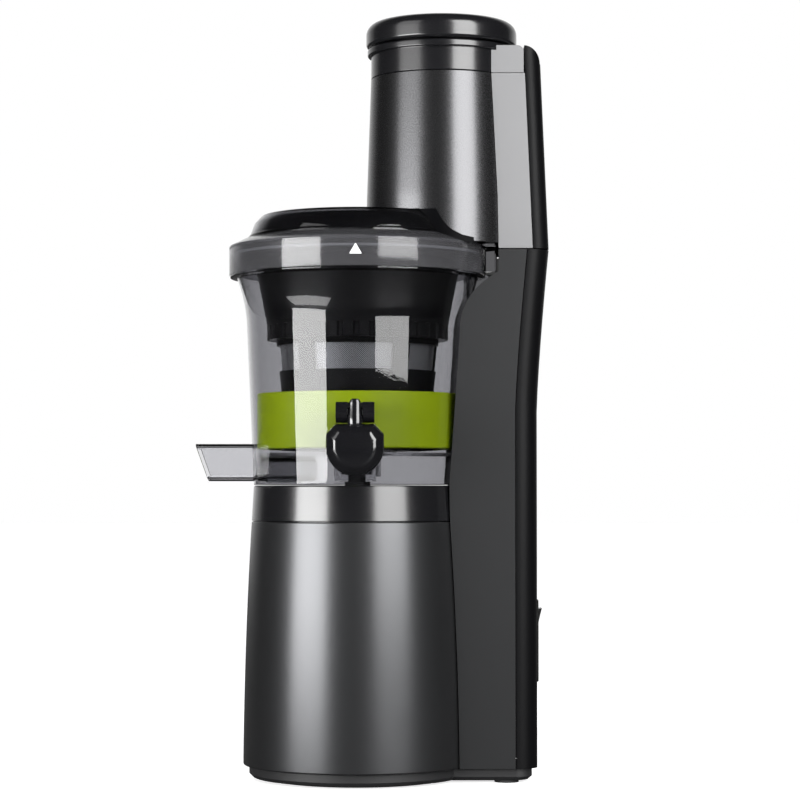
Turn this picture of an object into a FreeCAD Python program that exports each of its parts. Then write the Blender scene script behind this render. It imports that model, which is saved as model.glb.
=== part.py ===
import FreeCAD, Part
import math
import os

os.makedirs("parts", exist_ok=True)

# Upright cold press juicer. Millimetres, +Z up, floor at z = 0.
# The motor, bowl and auger share the Z axis. The spine stands on the +X side and juice leaves at -Y.

# Running gaps and wall thicknesses
seat_gap = 0.3          # between pieces that sit against each other
joint_gap = 0.1         # between clear mouldings that are welded together
fit_gap = 0.05          # radial gap of a shaft in its bush
hex_gap = 0.08          # gap on each flat of the hexagonal drive
shell_wall = 2.4        # base mouldings
clear_wall = 1.9        # clear bowl and lid mouldings
trim_wall = 1.8         # feed tower mouldings

# Feet and base plate
foot_height = 1.5
foot_pocket = 1.2
foot_ring_outer = 52.0
foot_ring_inner = 46.0
rear_foot_radius = 7.0
rear_foot_x = 86.0
rear_foot_y = 20.0
plinth_radius = 62.8
plinth_back = 100.6
plinth_floor = 3.0
plinth_bevel = 2.2
skirt_level = 8.5       # lower edge of the housing and of the spine
base_screw_radius = 1.6
base_screw_circle = 57.4
base_screw_length = 16.0
base_post_radius = 6.4
vent_count = 16
vent_inner = 16.0
vent_outer = 38.0
vent_width = 3.0

# Metallic housing and black collar
housing_bottom_radius = 66.3
housing_belly_radius = 64.9
housing_top_radius = 61.7
housing_height = 140.7
collar_gap = 0.4
collar_height = 20.4
collar_top_radius = 60.5
deck_drop = 3.4
deck_thickness = 3.0
spigot_depth = 8.4
spigot_wall = 3.0
wire_slot_half = 12.0
wire_slot_low = 18.0
wire_slot_high = 52.0

# Motor
motor_radius = 43.0
motor_low = 34.0
motor_height = 60.0
stator_outer = 40.0
stator_inner = 25.0
rotor_radius = 24.2
stator_length = 42.0
stator_low = 42.0
motor_shaft_radius = 4.0
motor_bush_radius = 8.0
motor_bush_length = 6.0
fan_radius = 35.0
fan_hub_radius = 9.0
fan_low = 13.0
fan_height = 11.0
fan_blades = 9
fan_blade_wall = 1.6

# Gearbox: two equal stages, so that the output comes back onto the motor's axis
tooth_module = 1.0
small_teeth = 12
large_teeth = 48
gear_width = 9.0
gear_space = 2.0
gearbox_radius = 58.2
gearbox_wall = 2.2
gearbox_floor = 3.5
gearbox_cover_thickness = 3.2
lay_pin_radius = 4.0
bearing_outer = 13.0
bearing_width = 10.0
bearing_boss = 17.0
drive_radius = 8.0
drive_hex_flat = 13.0
drive_hex_reach = 42.0
bush_wall = 3.0
bush_length = 13.0
deck_boss_wall = 3.4
case_screw_circle = 50.5
case_screw_radius = 1.6
case_post_radius = 4.4
case_screw_length = 16.0
case_screw_angles = (-90.0, -35.0, 35.0, 90.0)
screw_head_height = 2.0
screw_head_ratio = 1.9

# Spine
spine_half_width = 32.5
spine_top = 305.5
spine_back_low = 103.7
spine_top_depth = 23.1   # from the recess round the lid to the back
spine_bend = 212.0
spine_bend_power = 1.3
spine_corner = 13.0
spine_step = 91.0 / 7
recess_gap_base = 0.8
recess_gap_bowl = 1.7
recess_flare_start = 258.0
recess_flare_start_radius = 67.5
recess_flare_mid = 280.0
recess_flare_mid_radius = 73.5
recess_flare_end = 292.5
seam_gap = 0.4
corner_lead = 0.6        # straight run between a seam and a rounded corner

# Rocker switch, cord gland and electronics in the spine
switch_height = 80.0
switch_half_length = 23.7
switch_half_width = 10.5
bezel_proud = 1.4
bezel_frame = 3.2
rocker_gap = 0.5
rocker_tilt = 7.0
rocker_pivot_depth = 6.0
rocker_face_out = 1.2
rocker_dip = 1.4
rocker_pin_radius = 1.5
gland_height = 26.0
gland_radius = 8.0
gland_bore = 3.6
gland_proud = 0.6
board_x = 82.0
board_thickness = 1.6
board_half_width = 22.0
board_low = 112.0
board_high = 196.0
board_inset = 5.0
board_part_pitch = 22.0
relay_size = (9.0, 14.0, 16.0)
coil_size = (11.0, 16.0, 18.0)
sink_size = (10.0, 12.0, 20.0)
capacitor_radius = 6.0
capacitor_length = 20.0
standoff_radius = 3.2
sensor_width = 12.0
sensor_height = 6.0

# Bowl
bowl_gap = 0.4
bowl_foot_radius = 60.5
bowl_shoulder_height = 91.0
bowl_shoulder_radius = 64.6
bowl_curve_height = 107.0
bowl_curve_radius = 66.5
bowl_neck_height = 120.2
bowl_neck_root_radius = 70.4
bowl_flange_radius = 74.6
bowl_flange_thickness = 1.8
bowl_neck_radius = 71.9
bowl_neck_rise = 11.5
bowl_floor_height = 16.1
bowl_floor_thickness = 2.2
bowl_tube_radius = 13.8
bowl_tube_bore = 11.2
bowl_tube_rise = 8.5
bowl_tube_drop = 11.3
gusset_half_width = 12.0
gusset_reach = 79.5
gusset_low = 107.0
gusset_root = 64.0

# Pulp outlet on the -X side
pulp_half_width = 17.0
pulp_low = 2.1
pulp_high = 23.6
pulp_reach_top = 93.8
pulp_reach_bottom = 86.0
tunnel_half_width = 15.0
tunnel_inner_end = 24.0
pulp_hole_low = 26.0
pulp_hole_high = 39.0
pulp_hole_half = 9.0
plug_low = 34.0
plug_high = 52.0
plug_half_width = 8.0
plug_lip = 1.2

# Juice spout and its flip cap on the -Y side
spout_half_width = 11.4
spout_low = 1.4
spout_high = 33.8
spout_front = 79.0
spout_channel_half = 8.0
spout_channel_low = 18.3
spout_channel_high = 30.0
nozzle_height = 19.0
nozzle_outer = 10.4
nozzle_bore = 8.0
nozzle_reach = 5.0
hinge_block_half = 10.7
hinge_block_rise = 11.6
hinge_slot_half = 4.2
hinge_slot_back = 10.5
hinge_back = 66.0
hinge_knuckle = 5.8
hinge_pin_radius = 1.5
cap_half_width = 16.1
cap_round_height = 20.7
cap_side_rise = 7.2
cap_top_rise = 12.6
cap_top_half = 10.9
cap_back = 81.0
cap_front = 95.0
cap_wall = 2.0
cap_edge_round = 2.6
cap_arm_half = 3.8
cap_knuckle = 3.4
lever_rise = 7.4
lever_half = 3.2
cap_seal_thickness = 2.5

# Strainer, mesh and wiper
strainer_foot_rise = 1.6
strainer_wall = 2.2
strainer_low_radius = 44.2
strainer_mid_height = 56.0
strainer_mid_radius = 44.7
strainer_top_height = 84.2
strainer_top_radius = 47.6
tooth_flange_radius = 52.9
tooth_flange_height = 8.5
tooth_flange_count = 36
tooth_flange_notch = 3.0
funnel_height = 120.0
funnel_radius = 58.2
rim_radius = 69.6
rim_thickness = 2.0
window_low = 66.0
window_high = 81.0
window_count = 5
window_angle = 60.0
window_middle = -92.5
lower_window_low = 26.0
lower_window_high = 51.0
lower_window_count = 10
lower_window_angle = 25.0
mesh_thickness = 0.5
mesh_gap = 0.1
wiper_low = 21.0
wiper_high = 53.0
wiper_radius = 58.6
wiper_wall = 1.9
blade_count = 3
blade_width = 2.4
blade_inner = 45.2

# Wheel train that turns the wiper the other way round the strainer
ring_module = 1.25
auger_teeth = 60
pinion_teeth = 11
ring_gear_width = 3.0
pinion_angle = 140.0
pinion_pin_radius = 2.2
pinion_room = 1.3

# Auger
auger_core_low = 30.0
auger_core_mid = 21.0
auger_core_top = 14.0
auger_top_height = 116.0
auger_mid_height = 60.0
flight_radius = 40.2
flight_pitch = 40.0
flight_turns = 1.6
flight_thickness = 4.0
auger_bore = 14.4
hub_radius = 12.0
hub_length = 16.0
tip_radius = 5.0
tip_length = 14.0

# Lid
lid_skirt_radius = 75.1
lid_skirt_wall = 2.2
lid_shelf_rise = 19.2
lid_shelf_radius = 64.6
dome_low_radius = 62.8
dome_mid_radius = 60.5
dome_top_radius = 55.8
dome_foot_rise = 4.3
dome_top_rise = 15.6
lug_depth = 6.5          # beyond the skirt
lug_clearance = 6.0      # between the lug and the recess
lug_half_width = 14.0
lug_low = 1.4
plug_ring_radius = 69.4
plug_ring_wall = 3.0
seal_thickness = 1.2
feed_window_radius = 50.0
tip_bush_wall = 3.0
mark_half_width = 3.5
mark_height = 6.0
mark_rise = 6.4
mark_proud = 0.25

# Feed tower and pusher
tower_x = 49.1
tower_bore = 38.0
liner_wall = 1.3
tower_seam = 407.6
tower_mid = 337.0
tower_foot = 309.3
tower_radius_seam = 41.25
tower_radius_mid = 43.7
tower_radius_foot = 44.2
collar_lip_radius = 43.3
collar_lip_rise = 13.7   # its foot above the tower's seam
collar_lip_height = 4.2
feed_floor_low_x = 50.0
feed_floor_low_z = 320.0
feed_floor_high_x = 87.5
feed_floor_high_z = 349.0
hopper_half_width = 30.5
hopper_gap = 0.8
hopper_top_drop = 2.0    # below the tower's top
hopper_lean = 5.1        # how far the back comes forward up to its top
hopper_corner = 9.6
hopper_top_round = 10.0
hopper_face_round = 3.5
magnet_size = (5.0, 10.0, 3.0)
pusher_gap = 0.8
pusher_wall = 2.2
pusher_foot_gap = 3.5
cap_gap = 0.8
cap_radius = 44.1
cap_height = 14.7
cap_round = 8.0
cap_low_round = 2.0

# Levels and places that follow from the sizes above
housing_top = skirt_level + housing_height
collar_low = housing_top + collar_gap
collar_top = collar_low + collar_height
deck_top = collar_top - deck_drop
deck_low = deck_top - deck_thickness
bowl_low = collar_top + bowl_gap
bowl_floor = bowl_low + bowl_floor_height + bowl_floor_thickness
bowl_flange_top = bowl_low + bowl_neck_height + bowl_flange_thickness
bowl_top = bowl_flange_top + bowl_neck_rise
lid_low = bowl_flange_top + seat_gap
lid_shelf = lid_low + lid_shelf_rise
dome_foot = lid_shelf + dome_foot_rise
dome_top = lid_shelf + dome_top_rise
spout_axis = bowl_low + nozzle_height
hinge_axis = bowl_low + spout_high + seat_gap + hinge_knuckle
hinge_y = -(cap_back + 3.0)
lay_x = -tooth_module * (small_teeth + large_teeth) / 2
gearbox_low = motor_low + motor_height
stage_one = gearbox_low + gearbox_floor + gear_space
stage_two = stage_one + gear_width + gear_space
gearbox_top = collar_low - spigot_depth - seat_gap
pinion_circle = ring_module * (auger_teeth + pinion_teeth) / 2
ring_teeth = auger_teeth + 2 * pinion_teeth
auger_low = bowl_floor + strainer_foot_rise + 0.6
auger_wheel_top = auger_low + ring_gear_width
lug_reach = lid_skirt_radius + lug_depth
recess_flare_end_radius = lug_reach + lug_clearance
spine_back_high = recess_flare_end_radius + spine_top_depth
collar_lip_low = tower_seam + collar_lip_rise
tower_top = collar_lip_low + collar_lip_height
hopper_top = tower_top - hopper_top_drop
hopper_back_low = spine_back_high
hopper_back_high = hopper_back_low - hopper_lean

Vec = FreeCAD.Vector
UP = Vec(0, 0, 1)
shapes = {}


def rod(radius, low, high, x=0.0, y=0.0):
    """Upright cylinder."""
    return Part.makeCylinder(radius, high - low, Vec(x, y, low), UP)


def ring(outer, inner, low, high, x=0.0, y=0.0):
    """Upright tube."""
    return rod(outer, low, high, x, y).cut(rod(inner, low - 1, high + 1, x, y))


def block(x0, x1, y0, y1, z0, z1):
    """Box between two corners."""
    return Part.makeBox(x1 - x0, y1 - y0, z1 - z0, Vec(x0, y0, z0))


def join(pieces):
    """One solid from pieces that overlap or touch."""
    first, rest = pieces[0], pieces[1:]
    return first.multiFuse(rest).removeSplitter() if rest else first


def edges_of(outline):
    """Edges through (a, b) points; a point written ("arc", mid, end) makes an arc to end."""
    edges, here = [], outline[0]
    for step in outline[1:] + [outline[0]]:
        if step[0] == "arc":
            mid, end = step[1], step[2]
            edges.append((here, mid, end))
            here = end
        elif step != here:
            edges.append((here, step))
            here = step
    return edges


def face_from(outline, place):
    """Flat face from an outline, with each (a, b) point put in space by place."""
    edges = []
    for points in edges_of(outline):
        spots = [place(*p) for p in points]
        if len(spots) == 3:
            edges.append(Part.Arc(*spots).toShape())
        else:
            edges.append(Part.LineSegment(*spots).toShape())
    return Part.Face(Part.Wire(edges))


def turned(outline, x=0.0):
    """Solid of revolution of an outline of (radius, height) about an upright axis at x."""
    face = face_from(outline, lambda r, z: Vec(x + r, 0, z))
    return face.revolve(Vec(x, 0, 0), UP, 360)


def side_prism(outline, half_width):
    """Outline of (x, z) carried from -half_width to +half_width along Y."""
    face = face_from(outline, lambda a, b: Vec(a, -half_width, b))
    return face.extrude(Vec(0, 2 * half_width, 0))


def front_prism(outline, near, far):
    """Outline of (x, z) carried along Y from near to far."""
    face = face_from(outline, lambda a, b: Vec(a, near, b))
    return face.extrude(Vec(0, far - near, 0))


def around(piece, angle, x=0.0, y=0.0):
    """Copy of a piece turned about an upright axis."""
    copy = piece.copy()
    copy.rotate(Vec(x, y, 0), UP, angle)
    return copy


def sector(outer, inner, low, high, angle, middle):
    """Part of a tube that spans an angle, centred on the direction middle."""
    face = face_from([(inner, low), (outer, low), (outer, high), (inner, high)],
                     lambda r, z: Vec(r, 0, z))
    return around(face.revolve(Vec(0, 0, 0), UP, angle), middle - angle / 2)


def wheel_face(teeth, module, phase, inside=False):
    """Face of a toothed wheel; each tooth is a trapezium, with one centred on the angle phase."""
    pitch_radius = teeth * module / 2
    sign = -1 if inside else 1
    tip = pitch_radius + sign * 0.85 * module
    root = pitch_radius - sign * 1.15 * module
    half_step = math.pi / teeth
    tip_half = half_step * 0.26
    root_half = half_step * 0.62
    points = []
    for k in range(teeth):
        centre = math.radians(phase) + 2 * half_step * k
        for radius, angle in ((root, -root_half), (tip, -tip_half), (tip, tip_half), (root, root_half)):
            points.append(Vec(radius * math.cos(centre + angle), radius * math.sin(centre + angle), 0))
    return Part.Face(Part.makePolygon(points + [points[0]]))


def wheel(teeth, module, phase, low, high, x=0.0, y=0.0, inside=False):
    """Toothed wheel, or the cutter of a toothed ring."""
    solid = wheel_face(teeth, module, phase, inside).extrude(Vec(0, 0, high - low))
    solid.translate(Vec(x, y, low))
    return solid


def hexagon(flat, low, high):
    """Upright hexagonal bar of a given distance across its flats."""
    corner = flat / math.sqrt(3)
    points = [Vec(corner * math.cos(math.radians(60 * k)), corner * math.sin(math.radians(60 * k)), low)
              for k in range(7)]
    return Part.Face(Part.makePolygon(points)).extrude(Vec(0, 0, high - low))


def screw(radius, x, y, tip, under_head, head_up):
    """Plain screw; its head is above or below its shank."""
    low, high = min(tip, under_head), max(tip, under_head)
    head = head_up * screw_head_height
    top = under_head + head
    return rod(radius, low, high, x, y).fuse(
        rod(radius * screw_head_ratio, min(under_head, top), max(under_head, top), x, y))


def on_circle(radius, angle):
    return radius * math.cos(math.radians(angle)), radius * math.sin(math.radians(angle))


# Outlines that more than one piece follows

def housing_outline(inset):
    """Outer face of the metallic housing, moved inwards by inset."""
    middle = (housing_belly_radius - inset, skirt_level + housing_height / 2)
    return (housing_bottom_radius - inset, skirt_level), middle, (housing_top_radius - inset, housing_top)


def bowl_outline(inset):
    """Outer face of the clear bowl, moved inwards by inset, from its foot to the root of its neck."""
    foot = (bowl_foot_radius - inset, bowl_low)
    shoulder = (bowl_shoulder_radius - inset, bowl_low + bowl_shoulder_height)
    curve = (bowl_curve_radius - inset, bowl_low + bowl_curve_height)
    neck = (bowl_neck_root_radius - inset, bowl_low + bowl_neck_height)
    return foot, shoulder, curve, neck


def bowl_radius(height, inset=0.0):
    """Radius of the bowl's straight wall at a height."""
    share = (height - bowl_low) / bowl_shoulder_height
    return bowl_foot_radius - inset + share * (bowl_shoulder_radius - bowl_foot_radius)


def recess(extra):
    """Solid that hollows the spine's front around the base, the bowl and the lid."""
    low, middle, high = housing_outline(-recess_gap_base)
    gap = recess_gap_bowl
    return turned([
        (0.0, 0.0),
        (low[0] + extra, 0.0),
        (low[0] + extra, low[1]),
        ("arc", (middle[0] + extra, middle[1]), (high[0] + extra, high[1])),
        (bowl_foot_radius + gap + extra, bowl_low),
        (recess_flare_start_radius + extra, recess_flare_start),
        ("arc", (recess_flare_mid_radius + extra, recess_flare_mid),
         (recess_flare_end_radius + extra, recess_flare_end)),
        (recess_flare_end_radius + extra, spine_top + 20),
        (0.0, spine_top + 20),
    ])


def spine_back(height):
    """Back of the spine at a height: upright at first, then leaning back."""
    share = max(0.0, (height - spine_bend) / (spine_top - spine_bend))
    return spine_back_low + (spine_back_high - spine_back_low) * share ** spine_bend_power


def hopper_back(height):
    """Back of the feed tower's rear block at a height."""
    share = (height - spine_top) / (hopper_top - spine_top)
    return hopper_back_low + (hopper_back_high - hopper_back_low) * share


def plan_wire(height, front, back, half_width, corner):
    """Closed wire of a plan section with two rounded corners at its back, or square ones."""
    if corner <= 0:
        points = [Vec(front, -half_width, height), Vec(back, -half_width, height),
                  Vec(back, half_width, height), Vec(front, half_width, height)]
        return Part.makePolygon(points + [points[0]])
    inner = corner * (1 - math.sqrt(0.5))
    a, b = Vec(front, -half_width, height), Vec(back - corner, -half_width, height)
    c, d = Vec(back, -half_width + corner, height), Vec(back, half_width - corner, height)
    e, f = Vec(back - corner, half_width, height), Vec(front, half_width, height)
    first = Vec(back - inner, -half_width + inner, height)
    second = Vec(back - inner, half_width - inner, height)
    return Part.Wire([
        Part.LineSegment(a, b).toShape(),
        Part.Arc(b, first, c).toShape(),
        Part.LineSegment(c, d).toShape(),
        Part.Arc(d, second, e).toShape(),
        Part.LineSegment(e, f).toShape(),
        Part.LineSegment(f, a).toShape(),
    ])


def tower_loft(levels, front, back, half_width, corner):
    """Solid through plan sections at several levels; front and back give x at a level."""
    wires = [plan_wire(z, front(z), back(z), half_width, corner) for z in levels]
    return Part.makeLoft(wires, True, True)


def spine_levels(low, high):
    """Levels of the spine's plan sections, closer together where it leans."""
    count = max(1, round((high - spine_bend) / spine_step))
    leaning = [spine_bend + (high - spine_bend) * k / count for k in range(1, count + 1)]
    return [low, spine_bend] + leaning


def lid_surface(lift):
    """Solid under the outer face of the lid, raised by lift."""
    return turned([
        (0.0, lid_low - 60),
        (lid_skirt_radius + lift, lid_low - 60),
        (lid_skirt_radius + lift, lid_shelf + lift),
        (lid_shelf_radius + lift, lid_shelf + lift),
        (dome_low_radius + lift, dome_foot + lift),
        ("arc", (dome_mid_radius + lift, dome_top - 5 + lift), (dome_top_radius, dome_top + lift)),
        (0.0, dome_top + lift),
    ])


# Base plate, feet and their screws

def make_base_plate():
    """Tray that closes the base from below, with pockets for the feet and slots for the fan."""
    low = foot_height
    high = skirt_level - seat_gap
    back_corner = spine_corner - 3.0
    round_outer = turned([(0, low), (plinth_radius - plinth_bevel, low),
                          (plinth_radius, low + plinth_bevel), (plinth_radius, high), (0, high)])
    tail_half = spine_half_width - 3.0
    tail = Part.makeLoft([
        plan_wire(low, 30, plinth_back - plinth_bevel, tail_half - plinth_bevel, back_corner),
        plan_wire(low + plinth_bevel, 30, plinth_back, tail_half, back_corner),
        plan_wire(high, 30, plinth_back, tail_half, back_corner)], True, True)
    pocket_low = low + plinth_floor
    inner_round = rod(plinth_radius - plinth_floor, pocket_low, high + 1)
    inner_tail = Part.makeLoft([
        plan_wire(z, 30, plinth_back - plinth_floor, tail_half - plinth_floor, back_corner - plinth_floor)
        for z in (pocket_low, high + 1)], True, True)
    plate = round_outer.fuse(tail).cut(inner_round.fuse(inner_tail))
    posts = []
    for angle in (45, 135, 225, 315):
        x, y = on_circle(base_screw_circle, angle)
        posts.append(rod(base_post_radius - 2.0, pocket_low - 0.5, high, x, y))
    plate = plate.multiFuse(posts)
    cuts = [ring(foot_ring_outer + seat_gap, foot_ring_inner - seat_gap, low - 1, low + foot_pocket)]
    for side in (-1, 1):
        cuts.append(rod(rear_foot_radius + seat_gap, low - 1, low + foot_pocket,
                        rear_foot_x, side * rear_foot_y))
    for angle in (45, 135, 225, 315):
        x, y = on_circle(base_screw_circle, angle)
        cuts.append(rod(base_screw_radius + 0.1, low - 1, high + 1, x, y))
        cuts.append(rod(base_screw_radius * screw_head_ratio + 0.3, low - 1,
                        low + 0.6 + screw_head_height, x, y))
    for k in range(vent_count):
        slot = block(vent_inner, vent_outer, -vent_width / 2, vent_width / 2, low - 1, pocket_low + 1)
        cuts.append(around(slot, 360.0 * k / vent_count))
    return plate.cut(Part.makeCompound(cuts))


def make_feet():
    """Rubber ring under the round base, and two rubber pads under the spine."""
    top = foot_height + foot_pocket
    ring_foot = ring(foot_ring_outer, foot_ring_inner, 0, top)
    pads = [rod(rear_foot_radius, 0, top, rear_foot_x, side * rear_foot_y) for side in (-1, 1)]
    return ring_foot, Part.makeCompound(pads)


def make_base_screws():
    """Four screws that hold the base plate to the housing's posts."""
    under = foot_height + 0.6 + screw_head_height
    screws = []
    for angle in (45, 135, 225, 315):
        x, y = on_circle(base_screw_circle, angle)
        screws.append(screw(base_screw_radius, x, y, under + base_screw_length, under, -1))
    return Part.makeCompound(screws)


# Housing and collar

def make_housing():
    """Tapering metallic housing around the motor, with four screw posts inside."""
    low, middle, high = housing_outline(0)
    low_in, middle_in, high_in = housing_outline(shell_wall)
    wall = turned([low, ("arc", middle, high), high_in, ("arc", middle_in, low_in)])
    posts = []
    for angle in (45, 135, 225, 315):
        x, y = on_circle(base_screw_circle, angle)
        post = rod(base_post_radius, skirt_level, skirt_level + base_screw_length + 6, x, y)
        posts.append(post)
    inside = turned([(0, 0), (low[0] - 0.8, 0), (low[0] - 0.8, low[1]),
                     ("arc", (middle[0] - 0.8, middle[1]), (high[0] - 0.8, high[1])), (0, high[1])])
    shell = wall.multiFuse([post.common(inside) for post in posts])
    holes = []
    for angle in (45, 135, 225, 315):
        x, y = on_circle(base_screw_circle, angle)
        holes.append(rod(base_screw_radius, skirt_level - 1, skirt_level + base_screw_length, x, y))
    holes.append(block(40, 80, -wire_slot_half, wire_slot_half, wire_slot_low, wire_slot_high))
    return shell.cut(Part.makeCompound(holes))


def make_collar():
    """Gloss black collar with the deck that the bowl stands over."""
    spigot_radius = housing_top_radius - shell_wall - collar_gap
    inner = spigot_radius - spigot_wall
    boss = drive_radius + fit_gap + bush_wall + deck_boss_wall
    bush_room = drive_radius + fit_gap + bush_wall
    return turned([
        (inner, collar_low - spigot_depth),
        (spigot_radius, collar_low - spigot_depth),
        (spigot_radius, collar_low),
        (housing_top_radius, collar_low),
        (collar_top_radius, collar_top),
        (collar_top_radius - shell_wall, collar_top),
        (collar_top_radius - shell_wall, deck_top),
        (bush_room, deck_top),
        (bush_room, deck_low - bush_length),
        (boss, deck_low - bush_length),
        (boss, deck_low),
        (inner, deck_low),
    ])


# Motor

def make_motor():
    """Motor can with two bushes, its winding stack, and the shaft with rotor, fan and pinion."""
    top = motor_low + motor_height
    wall = 2.0
    bush_room = motor_bush_radius
    can = turned([
        (bush_room, motor_low),
        (motor_radius, motor_low),
        (motor_radius, top),
        (bush_room, top),
        (bush_room, top - wall - 4),
        (bush_room + wall, top - wall - 4),
        (bush_room + wall, top - wall),
        (motor_radius - wall, top - wall),
        (motor_radius - wall, motor_low + wall),
        (bush_room + wall, motor_low + wall),
        (bush_room + wall, motor_low + wall + 4),
        (bush_room, motor_low + wall + 4),
    ])
    windows = [around(block(motor_radius - 8, motor_radius + 5, -6, 6, motor_low + 8, motor_low + 20), 60 * k)
               for k in range(6)]
    shapes["motor_can"] = can.cut(Part.makeCompound(windows))
    stack = ring(motor_radius - wall, stator_inner, stator_low, stator_low + stator_length)
    slots = [around(block(stator_inner - 1, stator_outer - 6, -2.2, 2.2,
                          stator_low - 1, stator_low + stator_length + 1), 30 * k) for k in range(12)]
    shapes["motor_windings"] = stack.cut(Part.makeCompound(slots))
    bore = motor_shaft_radius + fit_gap
    bushes = [ring(motor_bush_radius, bore, motor_low, motor_low + motor_bush_length),
              ring(motor_bush_radius, bore, top - motor_bush_length, top)]
    shapes["motor_bushes"] = Part.makeCompound(bushes)
    shaft = rod(motor_shaft_radius, fan_low - 2, stage_one + gear_width)
    core = rod(rotor_radius, stator_low + 1, stator_low + stator_length - 1)
    shapes["motor_rotor"] = shaft.fuse(core)
    pinion = wheel(small_teeth, tooth_module, 0, stage_one, stage_one + gear_width)
    shapes["motor_pinion"] = pinion.cut(rod(motor_shaft_radius, stage_one - 1, stage_one + gear_width + 1))
    blades = [around(block(fan_hub_radius - 1, fan_radius, -fan_blade_wall / 2, fan_blade_wall / 2,
                           fan_low, fan_low + fan_height), 360.0 * k / fan_blades) for k in range(fan_blades)]
    disc = ring(fan_radius, motor_shaft_radius, fan_low + fan_height - 1.5, fan_low + fan_height)
    hub = ring(fan_hub_radius, motor_shaft_radius, fan_low, fan_low + fan_height)
    shapes["cooling_fan"] = join([hub, disc] + blades)


# Gearbox

def make_gearbox():
    """Round case and cover with a layshaft, the output shaft and its bearing."""
    posts = [rod(case_post_radius, gearbox_low, gearbox_top - gearbox_cover_thickness,
                 *on_circle(case_screw_circle, angle)) for angle in case_screw_angles]
    cover_low = gearbox_top - gearbox_cover_thickness
    inner = gearbox_radius - gearbox_wall
    case = ring(gearbox_radius, inner, gearbox_low, cover_low)
    floor = ring(gearbox_radius, motor_shaft_radius + 2.0, gearbox_low, gearbox_low + gearbox_floor)
    case = join([case, floor] + posts)
    cuts = [rod(lay_pin_radius, gearbox_low + 1, gearbox_low + gearbox_floor + 1, lay_x)]
    cover_cuts = [rod(drive_radius + 1, cover_low - 30, gearbox_top + 1),
                  rod(bearing_outer, cover_low - bearing_width, cover_low + 0.5),
                  rod(lay_pin_radius, cover_low - 1, gearbox_top - 1, lay_x)]
    screws = []
    for angle in case_screw_angles:
        x, y = on_circle(case_screw_circle, angle)
        cuts.append(rod(case_screw_radius, gearbox_top - case_screw_length, gearbox_top, x, y))
        cover_cuts.append(rod(case_screw_radius + 0.1, cover_low - 1, gearbox_top + 1, x, y))
        screws.append(screw(case_screw_radius, x, y, gearbox_top - case_screw_length, gearbox_top, 1))
    shapes["gearbox_case"] = case.cut(Part.makeCompound(cuts))
    cover = rod(gearbox_radius, cover_low, gearbox_top).fuse(
        rod(bearing_boss, cover_low - bearing_width - 1.5, cover_low + 0.1))
    shapes["gearbox_cover"] = cover.cut(Part.makeCompound(cover_cuts))
    shapes["gearbox_screws"] = Part.makeCompound(screws)
    shapes["layshaft_pin"] = rod(lay_pin_radius, gearbox_low + 1, gearbox_top - 1, lay_x)
    half_step = 180.0 / large_teeth
    large = wheel(large_teeth, tooth_module, half_step, stage_one, stage_one + gear_width, lay_x)
    small = wheel(small_teeth, tooth_module, 0, stage_one + gear_width - 0.1,
                  stage_two + gear_width, lay_x)
    bore = rod(lay_pin_radius + fit_gap, stage_one - 1, stage_two + gear_width + 1, lay_x)
    shapes["layshaft_gears"] = large.fuse(small).cut(bore)
    output = wheel(large_teeth, tooth_module, half_step, stage_two, stage_two + gear_width)
    shapes["output_gear"] = output.cut(rod(drive_radius, stage_two - 1, stage_two + gear_width + 1))
    bearing_low = cover_low - bearing_width
    shapes["output_bearing"] = ring(bearing_outer, drive_radius + fit_gap, bearing_low, cover_low + 0.5)
    shank = rod(drive_radius, stage_two, deck_top)
    shapes["drive_shaft"] = shank.fuse(hexagon(drive_hex_flat, deck_top - 1, deck_top + drive_hex_reach))
    bush = ring(drive_radius + fit_gap + bush_wall, drive_radius + fit_gap, deck_low - bush_length, deck_low)
    shapes["deck_bush"] = bush
    seal_outer = drive_radius + fit_gap + bush_wall
    shapes["shaft_seal"] = turned([
        (drive_radius + fit_gap, deck_low), (seal_outer, deck_low), (seal_outer, deck_top),
        (seal_outer - 0.8, deck_top + 0.8), (drive_radius + fit_gap, deck_top - 1.0)])


# Spine, its back cover, and what it holds

def make_spine():
    """Spine moulding, open at its back, with a front that follows the round base and bowl."""
    levels = spine_levels(skirt_level, spine_top)
    seam = lambda z: spine_back(z) - spine_corner
    outer = tower_loft(levels, lambda z: 30.0, seam, spine_half_width, 0)
    inner_levels = spine_levels(skirt_level - 1, spine_top - shell_wall)
    inner = tower_loft(inner_levels, lambda z: 30.0, lambda z: seam(z) + 1.0,
                       spine_half_width - shell_wall, 0)
    shell = outer.cut(recess(0)).cut(inner.cut(recess(shell_wall)))
    slot = block(40, 80, -wire_slot_half, wire_slot_half, wire_slot_low, wire_slot_high)
    shapes["spine_shell"] = shell.cut(slot)


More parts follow.
